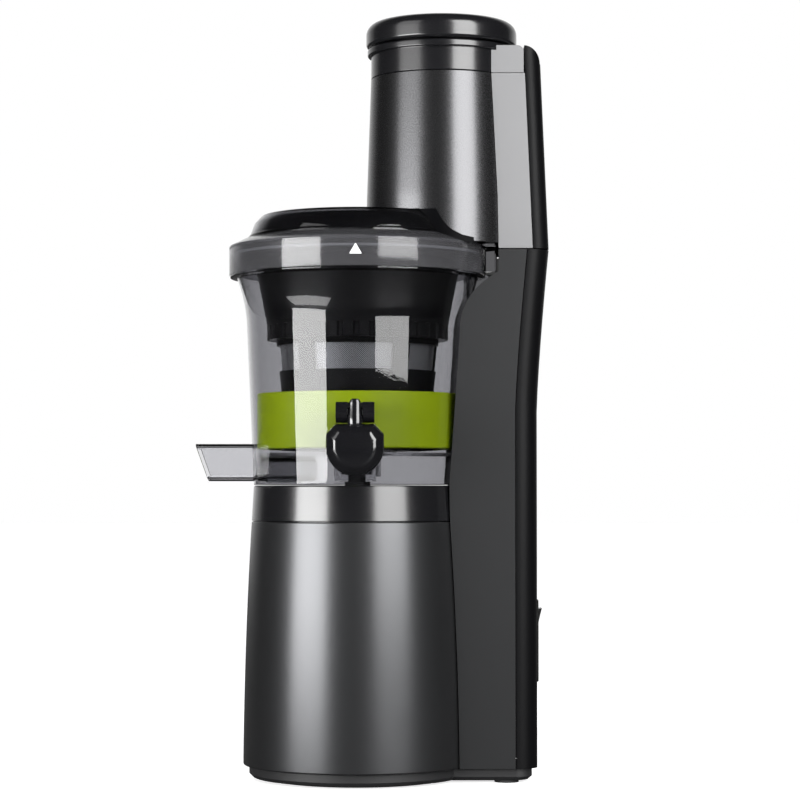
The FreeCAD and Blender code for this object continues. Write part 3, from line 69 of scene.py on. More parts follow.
def area_lamp(name, width, height, radiance):
    """Rectangular lamp, hidden from the camera and from rays through the bowl. Its power is
    radiance * pi * area."""
    lamp = bpy.data.lights.new(name, "AREA")
    lamp.shape = "RECTANGLE"
    lamp.size, lamp.size_y = width, height
    lamp.energy = radiance * math.pi * width * height
    holder = bpy.data.objects.new(name, lamp)
    holder.visible_camera = False
    holder.visible_transmission = False
    scene.collection.objects.link(holder)
    return holder


def softbox(name, azimuth, width, low, high, radiance):
    """Upright lamp on a circle round the machine; azimuth is counted from the camera side, + to the right."""
    turn = math.radians(azimuth)
    middle = (low + high) / 2
    place = (math.sin(turn) * softbox_distance, -math.cos(turn) * softbox_distance, middle)
    look_at(area_lamp(name, width, high - low, radiance), place, (0.0, 0.0, middle))


softbox("softbox_left_low", azimuth=-50.0, width=1.20, low=0.02, high=0.58, radiance=12.5)
softbox("softbox_left_high", azimuth=-53.0, width=1.25, low=0.60, high=2.10, radiance=1.7)
softbox("softbox_right", azimuth=36.5, width=1.15, low=0.16, high=2.10, radiance=8.2)

# A card of light lies on the floor in front of the low left softbox and carries its reflection down.
card_turn, card_rise = math.radians(-50.0), 0.012
card_width, card_near, card_far, card_radiance = 0.50, 0.75, 1.65, 5.0
card = area_lamp("floor_card", card_width, card_far - card_near, card_radiance)
card_middle = (card_near + card_far) / 2
card.location = (math.sin(card_turn) * card_middle, -math.cos(card_turn) * card_middle, card_rise)
card.rotation_euler = (math.pi, 0.0, -card_turn)


def set_input(socket, value):
    """Links a node's output to the socket, or writes a plain number or colour to it."""
    if isinstance(value, bpy.types.NodeSocket):
        socket.id_data.links.new(value, socket)
    else:
        socket.default_value = value


def maths(tree, operation, *values, clamp=False):
    """Math node on numbers or other nodes' outputs; gives back its output."""
    node = tree.nodes.new("ShaderNodeMath")
    node.operation = operation
    node.use_clamp = clamp
    for socket, value in zip(node.inputs, values):
        set_input(socket, value)
    return node.outputs[0]


def mixed(tree, share, a, b, data_type="FLOAT"):
    """Mix node, a + share * (b - a); gives back its result."""
    node = tree.nodes.new("ShaderNodeMix")
    node.data_type = data_type
    for name, value in (("Factor", share), ("A", a), ("B", b)):
        set_input(node.inputs[name], value)
    return node.outputs["Result"]


def ranged(tree, value, source, target):
    """Map Range node: carries the span source on to the span target in a straight line."""
    node = tree.nodes.new("ShaderNodeMapRange")
    names = ("Value", "From Min", "From Max", "To Min", "To Max")
    for name, number in zip(names, (value, *source, *target)):
        set_input(node.inputs[name], number)
    return node.outputs["Result"]


def apart(tree, vector):
    """Gives back a vector's parts X, Y and Z."""
    node = tree.nodes.new("ShaderNodeSeparateXYZ")
    set_input(node.inputs[0], vector)
    return node.outputs


# Metal and glass mirror a dim room that grows light towards +Y. Rays that came through the clear bowl
# see the white background when they run towards +Y, within the angle whose cosine is the limit.
white = (1.0, 1.0, 1.0, 1.0)
behind_limit = 0.93
room_span, room_light, room_fill = (0.55, 0.98), (0.03, 0.90), 0.30

world = bpy.data.worlds.new("studio")
world.use_nodes = True
scene.world = world
tree = world.node_tree
sky = tree.nodes["Background"].inputs
ray = tree.nodes.new("ShaderNodeLightPath").outputs
away = apart(tree, tree.nodes.new("ShaderNodeTexCoord").outputs["Generated"])["Y"]
mirrored = maths(tree, "MAXIMUM", ray["Is Glossy Ray"], ray["Is Transmission Ray"])
behind = maths(tree, "GREATER_THAN", away, behind_limit)
through = maths(tree, "MULTIPLY", ray["Is Transmission Ray"], behind)
seen = maths(tree, "MAXIMUM", ray["Is Camera Ray"], through)
room = mixed(tree, mirrored, room_fill, ranged(tree, away, room_span, room_light))
set_input(sky["Color"], white)
set_input(sky["Strength"], mixed(tree, seen, room, 1.0))
scene.view_settings.view_transform = "Standard"

floor_half = 12.0
paper_white, paper_dark = (0.80, 0.80, 0.80, 1.0), (0.04, 0.04, 0.04, 1.0)
paper_glow, paper_roughness, paper_gloss = 0.75, 0.6, 0.2

paper = bpy.data.materials.new("paper_floor")
paper.use_nodes = True
tree = paper.node_tree
shade = tree.nodes["Principled BSDF"].inputs
ray = tree.nodes.new("ShaderNodeLightPath").outputs
back = apart(tree, tree.nodes.new("ShaderNodeNewGeometry").outputs["Incoming"])["Y"]
behind = maths(tree, "LESS_THAN", back, -behind_limit)
through = maths(tree, "MULTIPLY", ray["Is Transmission Ray"], behind)
mirrored = maths(tree, "MAXIMUM", ray["Is Glossy Ray"], ray["Is Transmission Ray"])
dull = maths(tree, "SUBTRACT", mirrored, through, clamp=True)
seen = maths(tree, "MAXIMUM", ray["Is Camera Ray"], through)
set_input(shade["Base Color"], mixed(tree, dull, paper_white, paper_dark, data_type="RGBA"))
set_input(shade["Emission Color"], white)
set_input(shade["Emission Strength"], maths(tree, "MULTIPLY", seen, paper_glow))
set_input(shade["Roughness"], paper_roughness)
set_input(shade["Specular IOR Level"], paper_gloss)

floor_mesh = bpy.data.meshes.new("floor")
corners = [(x * floor_half, y * floor_half, 0.0) for x, y in ((-1, -1), (1, -1), (1, 1), (-1, 1))]
floor_mesh.from_pydata(corners, [], [(0, 1, 2, 3)])
floor_mesh.materials.append(paper)
floor = bpy.data.objects.new("floor", floor_mesh)
scene.collection.objects.link(floor)


# Base plate, feet and screws
# Black moulded tray that closes the base from below. Four steel screws hold it to the housing's posts,
# and a ring and two pads of black rubber are pressed into its pockets.
foot_outer, foot_inner, foot_top = 52.0, 46.0, 2.7
foot_round = 0.8
smooth_angle = 32.0
merge_distance = 1e-6
straight_opening = 3.1
face_weight = 90


def surface(name, points, close_rows=False, close_columns=False, keep=None):
    """Mesh of quads over a grid of points (rows, columns, 3) in millimetres.
    Grid point (i, j) is joined to (i + 1, j) and (i, j + 1); a closed side joins its last line to its
    first. Quads where keep is false are left out. Points that coincide are merged, and the faces are
    turned outwards: the sum of (face centre - middle) . normal is made positive."""
    rows, columns = points.shape[:2]
    i = np.arange(rows if close_rows else rows - 1)
    j = np.arange(columns if close_columns else columns - 1)
    i, j = [k.ravel() for k in np.meshgrid(i, j, indexing="ij")]
    if keep is not None:
        kept = keep[i, j]
        i, j = i[kept], j[kept]
    i2, j2 = (i + 1) % rows, (j + 1) % columns
    quads = np.stack([i * columns + j, i2 * columns + j, i2 * columns + j2, i * columns + j2], 1)
    return mesh_from(name, points.reshape(-1, 3) * MM, quads)


def mesh_from(name, spots, faces):
    """Object from points in metres and an array of triangles or quads, merged to a micrometre."""
    whole = np.round(spots / merge_distance).astype(np.int64)
    _, first, place = np.unique(whole, axis=0, return_index=True, return_inverse=True)
    spots, faces = spots[first], place.reshape(-1)[faces]
    middle = (spots.max(0) + spots.min(0)) / 2
    corner = spots[faces]
    last = corner[:, -1] if faces.shape[1] == 4 else corner[:, 0]
    normal = np.cross(corner[:, 2] - corner[:, 0], last - corner[:, 1])
    if np.einsum("ij,ij->", corner.mean(1) - middle, normal) < 0:
        faces = faces[:, ::-1]
    lists = []
    for face in faces.tolist():
        ring = [v for k, v in enumerate(face) if v != face[k - 1]]
        if len(set(ring)) > 2:
            lists.append(ring)
    mesh = bpy.data.meshes.new(name)
    mesh.from_pydata(spots.tolist(), [], lists)
    mesh.validate()
    piece = bpy.data.objects.new(name, mesh)
    scene.collection.objects.link(piece)
    soften(piece, smooth_angle)
    return piece


def soften(piece, angle):
    """Smooth shading, with edges sharper than the angle kept sharp."""
    piece.data.shade_smooth()
    piece.data.set_sharp_from_angle(angle=math.radians(angle))


def smooth_copy(node, name):
    """Copy of a node's own mesh with its loose triangles merged, so that its round faces shade smooth."""
    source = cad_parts[node].data
    spots = np.empty(len(source.vertices) * 3)
    source.vertices.foreach_get("co", spots)
    corners = np.empty(len(source.loops), dtype=np.int64)
    source.loops.foreach_get("vertex_index", corners)
    return mesh_from(name, spots.reshape(-1, 3), corners.reshape(-1, 3))


def eased(piece, width, segments=3, angle=38.0):
    """Rounds the edges that are sharper than the angle, width in millimetres."""
    bevel = piece.modifiers.new("eased_edges", "BEVEL")
    bevel.width = width * MM
    bevel.segments = segments
    bevel.limit_method = "ANGLE"
    bevel.angle_limit = math.radians(angle)
    bevel.harden_normals = True
    return piece


def walled(piece, thickness):
    """Gives an open sheet its wall, inwards from its outer face, in millimetres."""
    wall = piece.modifiers.new("wall", "SOLIDIFY")
    wall.thickness = thickness * MM
    wall.offset = -1.0
    wall.use_even_offset = True
    return piece


def rounded(corners, steps=5):
    """Closed outline with rounded corners: corner (a, b, radius) becomes an arc tangent to both sides,
    centre = corner + bisector * radius / sin(half angle). A corner that opens wider than
    straight_opening, in radians, is left as it is."""
    outline = []
    spots = np.array([c[:2] for c in corners], dtype=float)
    for k, here in enumerate(spots):
        radius = corners[k][2] if len(corners[k]) > 2 else 0.0
        u = spots[k - 1] - here
        v = spots[(k + 1) % len(spots)] - here
        u, v = u / np.linalg.norm(u), v / np.linalg.norm(v)
        opening = math.acos(np.clip(u @ v, -1.0, 1.0))
        if radius == 0.0 or opening > straight_opening:
            outline.append(here[None])
            continue
        half = opening / 2
        centre = here + (u + v) / np.linalg.norm(u + v) * radius / math.sin(half)
        start = here + u * radius / math.tan(half) - centre
        end = here + v * radius / math.tan(half) - centre
        sweep = math.pi - opening
        t = np.linspace(0.0, 1.0, steps + 1)[:, None]
        outline.append(centre + (start * np.sin((1 - t) * sweep) + end * np.sin(t * sweep)) / math.sin(sweep))
    return np.concatenate(outline)


def bowed(start, middle, end, steps=12):
    """Corners of the parabola r(z) through three (radius, height) points, by Lagrange's formula."""
    z = np.linspace(start[1], end[1], steps + 1)
    (r0, z0), (r1, z1), (r2, z2) = start, middle, end
    r = (r0 * (z - z1) * (z - z2) / ((z0 - z1) * (z0 - z2))
         + r1 * (z - z0) * (z - z2) / ((z1 - z0) * (z1 - z2))
         + r2 * (z - z0) * (z - z1) / ((z2 - z0) * (z2 - z1)))
    return list(zip(r, z))


def turned(name, outline, x=0.0, segments=192, closed=True, keep=None):
    """Outline (radius, height) carried round an upright axis at x:
    (x + r cos a, r sin a, h). A closed outline makes a solid ring, an open one a sheet."""
    outline = np.asarray(outline, dtype=float)
    a = np.linspace(0.0, 2 * math.pi, segments, endpoint=False)[:, None]
    r, h = outline[None, :, 0], outline[None, :, 1]
    points = np.stack([x + r * np.cos(a), r * np.sin(a), h + 0 * a], -1)
    return surface(name, points, close_rows=True, close_columns=closed, keep=keep)


def noise(tree, scale, detail):
    """Noise over Object coordinates, from 0 to 1."""
    node = tree.nodes.new("ShaderNodeTexNoise")
    set_input(node.inputs["Vector"], tree.nodes.new("ShaderNodeTexCoord").outputs["Object"])
    set_input(node.inputs["Scale"], scale)
    set_input(node.inputs["Detail"], detail)
    return node.outputs["Fac"]


def finish(name, colour, roughness, metallic=0.0, grain=900.0, grain_depth=0.00002, spread=0.04,
           tint=0.08, cloud=18.0, **sockets):
    """Moulded or painted finish. Fine noise lifts the surface by grain_depth metres and changes the
    roughness by spread; the mean of fine and broad noise changes the colour by the share tint."""
    material = bpy.data.materials.new(name)
    material.use_nodes = True
    tree = material.node_tree
    shader = tree.nodes["Principled BSDF"].inputs
    fine, broad = noise(tree, grain, detail=3.0), noise(tree, cloud, detail=4.0)
    mean = maths(tree, "MULTIPLY_ADD", fine, 0.5, maths(tree, "MULTIPLY", broad, 0.5))
    shades = [tuple(min(1.0, c * share) for c in colour) + (1.0,) for share in (1 - tint, 1 + tint)]
    rough_span = (max(0.0, roughness - spread), roughness + spread)
    bump = tree.nodes.new("ShaderNodeBump")
    set_input(bump.inputs["Distance"], grain_depth)
    set_input(bump.inputs["Height"], fine)
    set_input(shader["Base Color"], mixed(tree, mean, *shades, data_type="RGBA"))
    set_input(shader["Roughness"], ranged(tree, fine, (0.0, 1.0), rough_span))
    set_input(shader["Normal"], bump.outputs["Normal"])
    set_input(shader["Metallic"], metallic)
    for socket, value in sockets.items():
        set_input(shader[socket.replace("_", " ")], value)
    return material


def fit(piece, material, body, slot, *replaced):
    """Gives a new piece its material and its body, and hides the nodes that it stands for; its slot is not
    used.
    Its normals are weighted by face area, so that small roundings don't bend the long faces."""
    shading = piece.modifiers.new("weighted_normals", "WEIGHTED_NORMAL")
    shading.keep_sharp = True
    shading.weight = face_weight
    piece.data.materials.clear()
    piece.data.materials.append(material)
    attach(piece, body)
    if replaced:
        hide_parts(*replaced)
    return piece


def coat(node, material):
    """Assigns a material to a node that keeps its own mesh."""
    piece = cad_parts[node]
    piece.data.materials.clear()
    piece.data.materials.append(material)


rubber = finish("foot_rubber", (0.018, 0.018, 0.019), 0.72, grain=1600.0, grain_depth=0.00004)
tray_plastic = finish("tray_plastic", (0.016, 0.016, 0.017), 0.50)
zinc = finish("zinc_steel", (0.62, 0.63, 0.65), 0.34, metallic=1.0, grain=2400.0, tint=0.12)

fit(turned("foot_ring_rubber", rounded([
    (foot_inner, 0.0, foot_round), (foot_outer, 0.0, foot_round), (foot_outer, foot_top),
    (foot_inner, foot_top)])), rubber, "base", "foot_rubber", "foot_ring")
fit(eased(smooth_copy("rear_feet", "rear_foot_pads"), foot_round), rubber, "base", "foot_rubber", "rear_feet")
fit(smooth_copy("base_plate", "base_tray"), tray_plastic, "base", "black_plastic", "base_plate")
coat("base_screws", zinc)


# Metallic housing
# Tapering drum of injection-moulded ABS with a gunmetal metallic lacquer. It drops over the motor and
# its lower edge rests on the base tray.
housing_low, housing_top = 8.5, 149.2
housing_wall = 2.4
housing_bow = [(66.3, housing_low), (64.9, 78.85), (61.7, housing_top)]
edge_round = 0.9

gunmetal = finish("gunmetal_lacquer", (0.072, 0.073, 0.076), 0.31, metallic=0.86, grain=2600.0,
                  grain_depth=0.000012, spread=0.05, tint=0.10, Coat_Weight=0.25, Coat_Roughness=0.22)

outer = bowed(*housing_bow, steps=16)
inner = [(r - housing_wall, z) for r, z in reversed(outer)]
outer[0] = outer[0] + (edge_round,)
outer[-1] = outer[-1] + (edge_round,)
fit(turned("metallic_housing", rounded(outer + inner)), gunmetal, "base", "metallic_housing", "base_housing")


# Black collar and deck
# High-gloss black ring that plugs into the top of the housing. Its deck carries the drive's bush and
# stands just under the bowl.
collar_low, collar_top, deck_top, deck_low = 149.6, 170.0, 166.6, 163.6
collar_foot_radius, collar_top_radius = 61.7, 60.5
spigot_radius, spigot_inner, spigot_low = 58.9, 55.9, 141.2
bush_room, bush_boss, bush_low = 11.05, 14.45, 150.6

piano_black = finish("piano_black", (0.006, 0.006, 0.007), 0.22, grain=60.0, grain_depth=0.00004, spread=0.02,
                     tint=0.05, Specular_IOR_Level=0.6, Coat_Weight=0.5, Coat_Roughness=0.15)

fit(turned("gloss_collar", rounded([
    (spigot_inner, spigot_low), (spigot_radius, spigot_low), (spigot_radius, collar_low),
    (collar_foot_radius, collar_low, 0.4), (collar_top_radius, collar_top, 1.0),
    (collar_top_radius - housing_wall, collar_top, 0.6), (collar_top_radius - housing_wall, deck_top),
    (bush_room, deck_top), (bush_room, bush_low), (bush_boss, bush_low), (bush_boss, deck_low),
    (spigot_inner, deck_low)])), piano_black, "base", "gloss_black", "base_collar")


# Motor, gearbox and drive shaft
# Shaded-pole motor with copper windings and two bronze bushes, a two-stage gear train in a cast case,
# and the steel output shaft with its hexagonal end. All of it is closed in by the housing.
motor_steel = finish("laminated_steel", (0.36, 0.36, 0.37), 0.42, metallic=1.0, grain=1500.0, tint=0.15)
copper = finish("enamelled_copper", (0.62, 0.24, 0.09), 0.28, metallic=1.0, grain=1900.0, tint=0.18)
bronze = finish("sintered_bronze", (0.52, 0.34, 0.13), 0.46, metallic=1.0, grain=2600.0)
cast_metal = finish("cast_case", (0.42, 0.43, 0.44), 0.50, metallic=1.0, grain=1100.0, grain_depth=0.00006)
ground_steel = finish("ground_steel", (0.60, 0.60, 0.61), 0.20, metallic=1.0, grain=3000.0)
nylon = finish("gear_nylon", (0.70, 0.68, 0.60), 0.44, grain=1300.0, Subsurface_Weight=0.1)
silicone = finish("seal_silicone", (0.30, 0.31, 0.32), 0.55, grain=1000.0)
inner_finishes = {
    "motor_can": motor_steel, "motor_windings": copper, "motor_bushes": bronze, "motor_rotor": motor_steel,
    "motor_pinion": ground_steel, "cooling_fan": tray_plastic, "gearbox_case": cast_metal,
    "gearbox_cover": cast_metal, "gearbox_screws": zinc, "layshaft_pin": ground_steel,
    "layshaft_gears": nylon, "output_gear": nylon, "output_bearing": bronze, "deck_bush": bronze,
    "drive_shaft": ground_steel, "shaft_seal": silicone,
}
for node, material in inner_finishes.items():
    coat(node, material)


# Spine
# Tall satin dark-grey moulding that stands beside the drum and carries the feed tower. Its front is
# hollowed round the base, the bowl and the lid, and it is open at the back under a cover.
spine_half, spine_low, spine_top = 32.5, 8.5, 305.5
spine_back_low, spine_back_rise, spine_bend, bend_power = 103.7, 7.0, 212.0, 1.3
spine_seam = 13.0
spine_wall = 2.4
flare_low, flare_top = 258.0, 292.5
flare_centre, flare_arc = (103.92, 259.88), 36.47
drum_top = 149.2
drum_heights, drum_radii = [spine_low, 78.85, drum_top], [67.1, 65.7, 62.5]
upper_heights, upper_radii = [drum_top, 170.4, flare_low, flare_top], [62.5, 62.2, 67.5, 87.6]

satin_grey = finish("satin_grey", (0.0195, 0.020, 0.021), 0.42, metallic=0.35, grain=2200.0,
                    grain_depth=0.000022, spread=0.05, tint=0.07)
satin_black = finish("satin_black", (0.003, 0.003, 0.0035), 0.40, grain=2200.0, grain_depth=0.000022,
                     Specular_IOR_Level=0.12)


def spine_back(z):
    """x of the spine's back: upright, then low + rise * share ** power above the bend."""
    share = np.clip((z - spine_bend) / (spine_top - spine_bend), 0.0, 1.0)
    return spine_back_low + spine_back_rise * share ** bend_power


def recess_radius(z):
    """Radius of the hollow front: a parabola over the drum, straight runs over the bowl and the lid, and
    between them the flare r = centre - sqrt(arc^2 - (z - centre height)^2)."""
    drum = np.polyval(np.polyfit(drum_heights, drum_radii, 2), z)
    rise = np.clip(z - flare_centre[1], -flare_arc, flare_arc)
    flare = flare_centre[0] - np.sqrt(flare_arc ** 2 - rise ** 2)
    r = np.where(z < drum_top, drum, np.interp(z, upper_heights, upper_radii))
    return np.where((z > flare_low) & (z < flare_top), flare, r)


def spine_section(z, columns=25):
    """Plan section at each height: (seam, -half), then the arc x = sqrt(R(z)^2 - y^2), then (seam, half)."""
    y = np.linspace(-spine_half, spine_half, columns)
    x = np.sqrt(recess_radius(z)[:, None] ** 2 - y[None] ** 2)
    seam = (spine_back(z) - spine_seam)[:, None]
    x = np.concatenate([seam, x, seam], 1)
    y = np.concatenate([[-spine_half], y, [spine_half]])
    return np.stack([x, np.broadcast_to(y, x.shape), np.broadcast_to(z[:, None], x.shape)], -1)


# The sides and the hollow front are one grid of quads, and the roof joins its top row to the seam.
heights = np.unique(np.concatenate([np.linspace(*run) for run in (
    (spine_low, flare_low, 60), (flare_low, flare_top, 22), (flare_top, spine_top, 6))]))
walls = spine_section(heights)
roof = walls[-1][1:-1]
roof_back = roof.copy()
roof_back[:, 0] = walls[-1][0, 0]
side_points = walls.reshape(-1, 3)
roof_points = np.stack([roof, roof_back]).reshape(-1, 3)
rows, columns = walls.shape[:2]
i, j = [k.ravel() for k in np.meshgrid(np.arange(rows - 1), np.arange(columns - 1), indexing="ij")]
corner = i * columns + j
side_quads = np.stack([corner, corner + columns, corner + columns + 1, corner + 1], 1)
k = np.arange(len(roof) - 1) + len(side_points)
roof_quads = np.stack([k, k + len(roof), k + len(roof) + 1, k + 1], 1)
spine = mesh_from("spine_moulding", np.concatenate([side_points, roof_points]) * MM,
                  np.concatenate([side_quads, roof_quads]))
fit(eased(walled(spine, spine_wall), edge_round), satin_grey, "base", "spine_grey", "spine_shell")
fit(smooth_copy("spine_back_cover", "spine_back_strip"), satin_black, "base", "back_dark", "spine_back_cover")


# Switch, cord gland and electronics
# A black rocker switch snaps into the back cover over the cord gland. Behind the cover a board with
# its relay, coil and capacitor stands on four posts, next to the lid's safety sensor.
board = finish("board_laminate", (0.03, 0.16, 0.07), 0.35, grain=700.0)
parts_plastic = finish("board_parts", (0.09, 0.09, 0.10), 0.40)
rocker_black = finish("rocker_black", (0.012, 0.012, 0.012), 0.24, grain=1500.0, Specular_IOR_Level=0.7)

fit(eased(smooth_copy("switch_bezel", "switch_frame"), 0.5), rocker_black, "base", "black_plastic",
    "switch_bezel")
fit(eased(smooth_copy("power_rocker", "rocker_key"), 0.4), rocker_black, "rocker", "black_plastic",
    "power_rocker")
fit(eased(smooth_copy("cord_gland", "cord_gland_lip"), 0.25), rubber, "base", "foot_rubber", "cord_gland")
coat("control_board", board)
coat("board_parts", parts_plastic)
coat("interlock_sensor", parts_plastic)


# Bowl
# Smoked clear copolyester moulding with a wide flange and a neck for the lid. Its floor has a centre
# tube for the drive, and it lifts straight off the collar.
bowl_wall = 1.9
bowl_low, bowl_shoulder, bowl_neck_root = 170.4, 261.4, 290.6
bowl_foot_radius, bowl_shoulder_radius = 60.5, 64.6
bowl_bow = [(bowl_shoulder_radius, bowl_shoulder), (66.5, 277.4), (70.4, bowl_neck_root)]
flange_radius, flange_low, flange_top = 74.6, 291.0, 292.4
neck_radius, neck_top = 71.9, 303.9
gusset_root, gusset_reach, gusset_half = 64.0, 79.5, 12.0
gusset_foot, gusset_shoulder = 277.4, 289.9
floor_under, floor_top = 186.5, 188.7
tube_radius, tube_bore, tube_low, tube_top = 13.8, 11.2, 175.2, 197.2
floor_gap = 0.1
pinion_place, post_radius, post_top = (-34.0, 28.5), 2.2, 194.9


def clear(name, colour, roughness=0.02, passed=1.0, ior=1.50):
    """Tinted clear plastic that passes a share of the light, with faint noise in its roughness. Shadow
    rays pass with the same tint, colour^0.5 at each wall, so that what stands inside is lit."""
    material = finish(name, colour, roughness, grain=240.0, grain_depth=0.00001, spread=0.015, tint=0.02,
                      Transmission_Weight=passed, IOR=ior)
    tree = material.node_tree
    passing = tree.nodes.new("ShaderNodeBsdfTransparent")
    set_input(passing.inputs["Color"], tuple(c ** 0.5 for c in colour) + (1.0,))
    shadow = tree.nodes.new("ShaderNodeLightPath").outputs["Is Shadow Ray"]
    either = tree.nodes.new("ShaderNodeMixShader")
    sources = (shadow, tree.nodes["Principled BSDF"].outputs[0], passing.outputs[0])
    for socket, source in zip(either.inputs, sources):
        set_input(socket, source)
    set_input(tree.nodes["Material Output"].inputs["Surface"], either.outputs[0])
    return material


def capped(name, rings):
    """Solid through a row of rings of equal point counts, each end closed with a fan from its middle."""
    ends = [np.repeat(ring.mean(0)[None], len(ring), 0) for ring in (rings[0], rings[-1])]
    return surface(name, np.stack([ends[0], *rings, ends[1]]), close_columns=True)


def across(outline, half, steps=8):
    """Rings of an outline (radius, height) carried from y = -half to half round the bowl's axis:
    x = sqrt(r^2 - y^2)."""
    r, h = np.array(outline, dtype=float).T
    return [np.stack([np.sqrt(r ** 2 - y ** 2), np.full_like(r, y), h], -1)
            for y in np.linspace(-half, half, steps + 1)]


def upright(radius, low, high, x, y, segments=32):
    """Two rings of an upright rod: (x + r cos a, y + r sin a, height)."""
    a = np.linspace(0.0, 2 * math.pi, segments, endpoint=False)
    return [np.stack([x + radius * np.cos(a), y + radius * np.sin(a), np.full_like(a, z)], -1)
            for z in (low, high)]


def bowl_radius(z):
    """Radius of the bowl's outer wall, a straight run from its foot to its shoulder."""
    share = (z - bowl_low) / (bowl_shoulder - bowl_low)
    return bowl_foot_radius + share * (bowl_shoulder_radius - bowl_foot_radius)


smoke = clear("smoked_copolyester", (0.55, 0.55, 0.57))
deep_smoke = clear("thick_smoked_parts", (0.11, 0.11, 0.115))

outer = bowed(*bowl_bow)
inner = [(r - bowl_wall, z) for r, z in reversed(outer)]
neck_inner = neck_radius - bowl_wall
fit(turned("clear_bowl", rounded(
    [(bowl_foot_radius, bowl_low, 0.6)] + outer + [
        (flange_radius, flange_low, 0.6), (flange_radius, flange_top, 0.5), (neck_radius, flange_top),
        (neck_radius, neck_top, 0.6), (neck_inner, neck_top, 0.6), (neck_inner, flange_low)]
    + inner + [(bowl_foot_radius - bowl_wall, bowl_low, 0.6)])), smoke, "bowl", "clear_smoke", "bowl_shell")
gusset = rounded([(gusset_root, gusset_foot), (gusset_reach, gusset_shoulder, 0.8),
                  (gusset_reach, flange_top, 0.6), (gusset_root, flange_top)])
fit(capped("bowl_gusset", across(gusset, gusset_half)), deep_smoke, "bowl", "clear_smoke", "bowl_shell")
fit(turned("bowl_floor_disc", rounded([
    (bowl_radius(floor_top) - bowl_wall - floor_gap, floor_top), (tube_radius, floor_top, 1.0),
    (tube_radius, tube_top, 0.6), (tube_bore, tube_top, 0.6), (tube_bore, tube_low), (tube_radius, tube_low),
    (tube_radius, floor_under), (bowl_radius(floor_under) - bowl_wall - floor_gap, floor_under)])),
    smoke, "bowl", "clear_smoke", "bowl_floor")
fit(capped("pinion_post", upright(post_radius, floor_top, post_top, *pinion_place)), smoke, "bowl",
    "clear_smoke", "bowl_floor")
coat("bowl_seal", silicone)


# Pulp chute, its tunnel and plug
# Square clear duct welded to the left of the bowl, with a slanted mouth. Under the floor it runs on as a
# tunnel to the pulp hole, and a silicone plug in its bottom lets it be washed out.
chute_half, chute_low, chute_high, chute_wall = 17.0, 172.5, 194.0, 1.8
mouth_top, mouth_bottom = 93.8, 86.0
tunnel_half, tunnel_end = 15.0, 24.0
chute_corner, corner_share, weld_gap, tunnel_overlap = 2.6, 0.6, 0.2, 4.0


def duct(name, half, low, high, near, far, corner, wall):
    """Square tube along X: a rounded rectangle in Y and Z is carried from near(y) to far(z) outside and
    back inside, x = near + s (far - near), with s running 0 to 1 and back to 0."""
    outside, inside = [rounded([
        (-half + inset, low + inset, radius), (half - inset, low + inset, radius),
        (half - inset, high - inset, radius), (-half + inset, high - inset, radius)])
        for inset, radius in ((0.0, corner), (wall, corner - wall * corner_share))]
    rim = (outside + inside) / 2
    stations = [(outside, 0.0), (outside, 0.5), (outside, 0.99), (rim, 1.0), (inside, 0.99), (inside, 0.5),
                (inside, 0.0)]
    rows = []
    for loop, s in stations:
        y, z = loop.T
        rows.append(np.stack([near(y) + s * (far(z) - near(y)), y, z], -1))
    return surface(name, np.stack(rows), close_rows=True, close_columns=True)


def mouth(z):
    """x of the chute's slanted mouth, a straight line from its bottom to its top."""
    return -(mouth_bottom + (mouth_top - mouth_bottom) * (z - chute_low) / (chute_high - chute_low))


chute_smoke = clear("chute_copolyester", (0.80, 0.80, 0.82))
chute = duct("pulp_duct", chute_half, chute_low, chute_high,
             lambda y: -np.sqrt((bowl_radius(chute_high) + weld_gap) ** 2 - y ** 2), mouth,
             chute_corner, chute_wall)
fit(chute, chute_smoke, "bowl", "clear_smoke", "pulp_chute")
tunnel = duct("pulp_tunnel", tunnel_half, chute_low, floor_under - floor_gap,
              lambda y: np.full_like(y, tunnel_overlap - bowl_foot_radius),
              lambda z: np.full_like(z, -tunnel_end), chute_corner, chute_wall)
fit(tunnel, smoke, "bowl", "clear_smoke", "pulp_chute")
fit(eased(smooth_copy("pulp_plug", "pulp_wash_plug"), 0.3), silicone, "bowl", "seal_silicone", "pulp_plug")


# Juice spout, hinge block and flip cap
# Clear spout box welded to the bowl's front, with a round nozzle. A black cap with a silicone pad flips
# up on a pin through the hinge block over it, and has a small thumb lever.
cap_half, cap_centre, cap_side_top, cap_top, cap_top_half = 16.1, 191.1, 198.3, 203.7, 10.9
cap_crown, cap_back = 94.8, 81.0
cap_wall, cap_depth, cap_corner, side_fall = 2.0, 1.6, 1.5, 0.75
boss_radius, boss_height, boss_span = 8.0, 189.4, (-86.8, -93.4)
hinge_place = (-84.0, 210.3)

# The cap's outside rolls over from its back edge to its crown: (inset, y) of each ring.
cap_outside = [(0.0, -cap_back), (0.0, -87.6), (0.5, -89.4), (1.6, -91.0), (3.8, -93.0), (4.4, -93.5),
               (5.0, -93.8), (6.4, -94.1)]

# The knuckle has an (x, radius) at each station, and the lever a (height, half width, y, half depth).
knuckle_stations = [(-3.8, 2.6), (-3.2, 3.4), (3.2, 3.4), (3.8, 2.6)]
lever_stations = [(202.2, 3.4, -88.6, 2.2), (204.0, 3.8, -88.6, 3.0), (208.0, 3.8, -88.4, 2.6),
                  (211.0, 3.3, -88.2, 2.0), (215.6, 3.2, -88.2, 1.8), (217.0, 2.6, -88.2, 1.5),
                  (217.7, 1.5, -88.2, 0.8)]

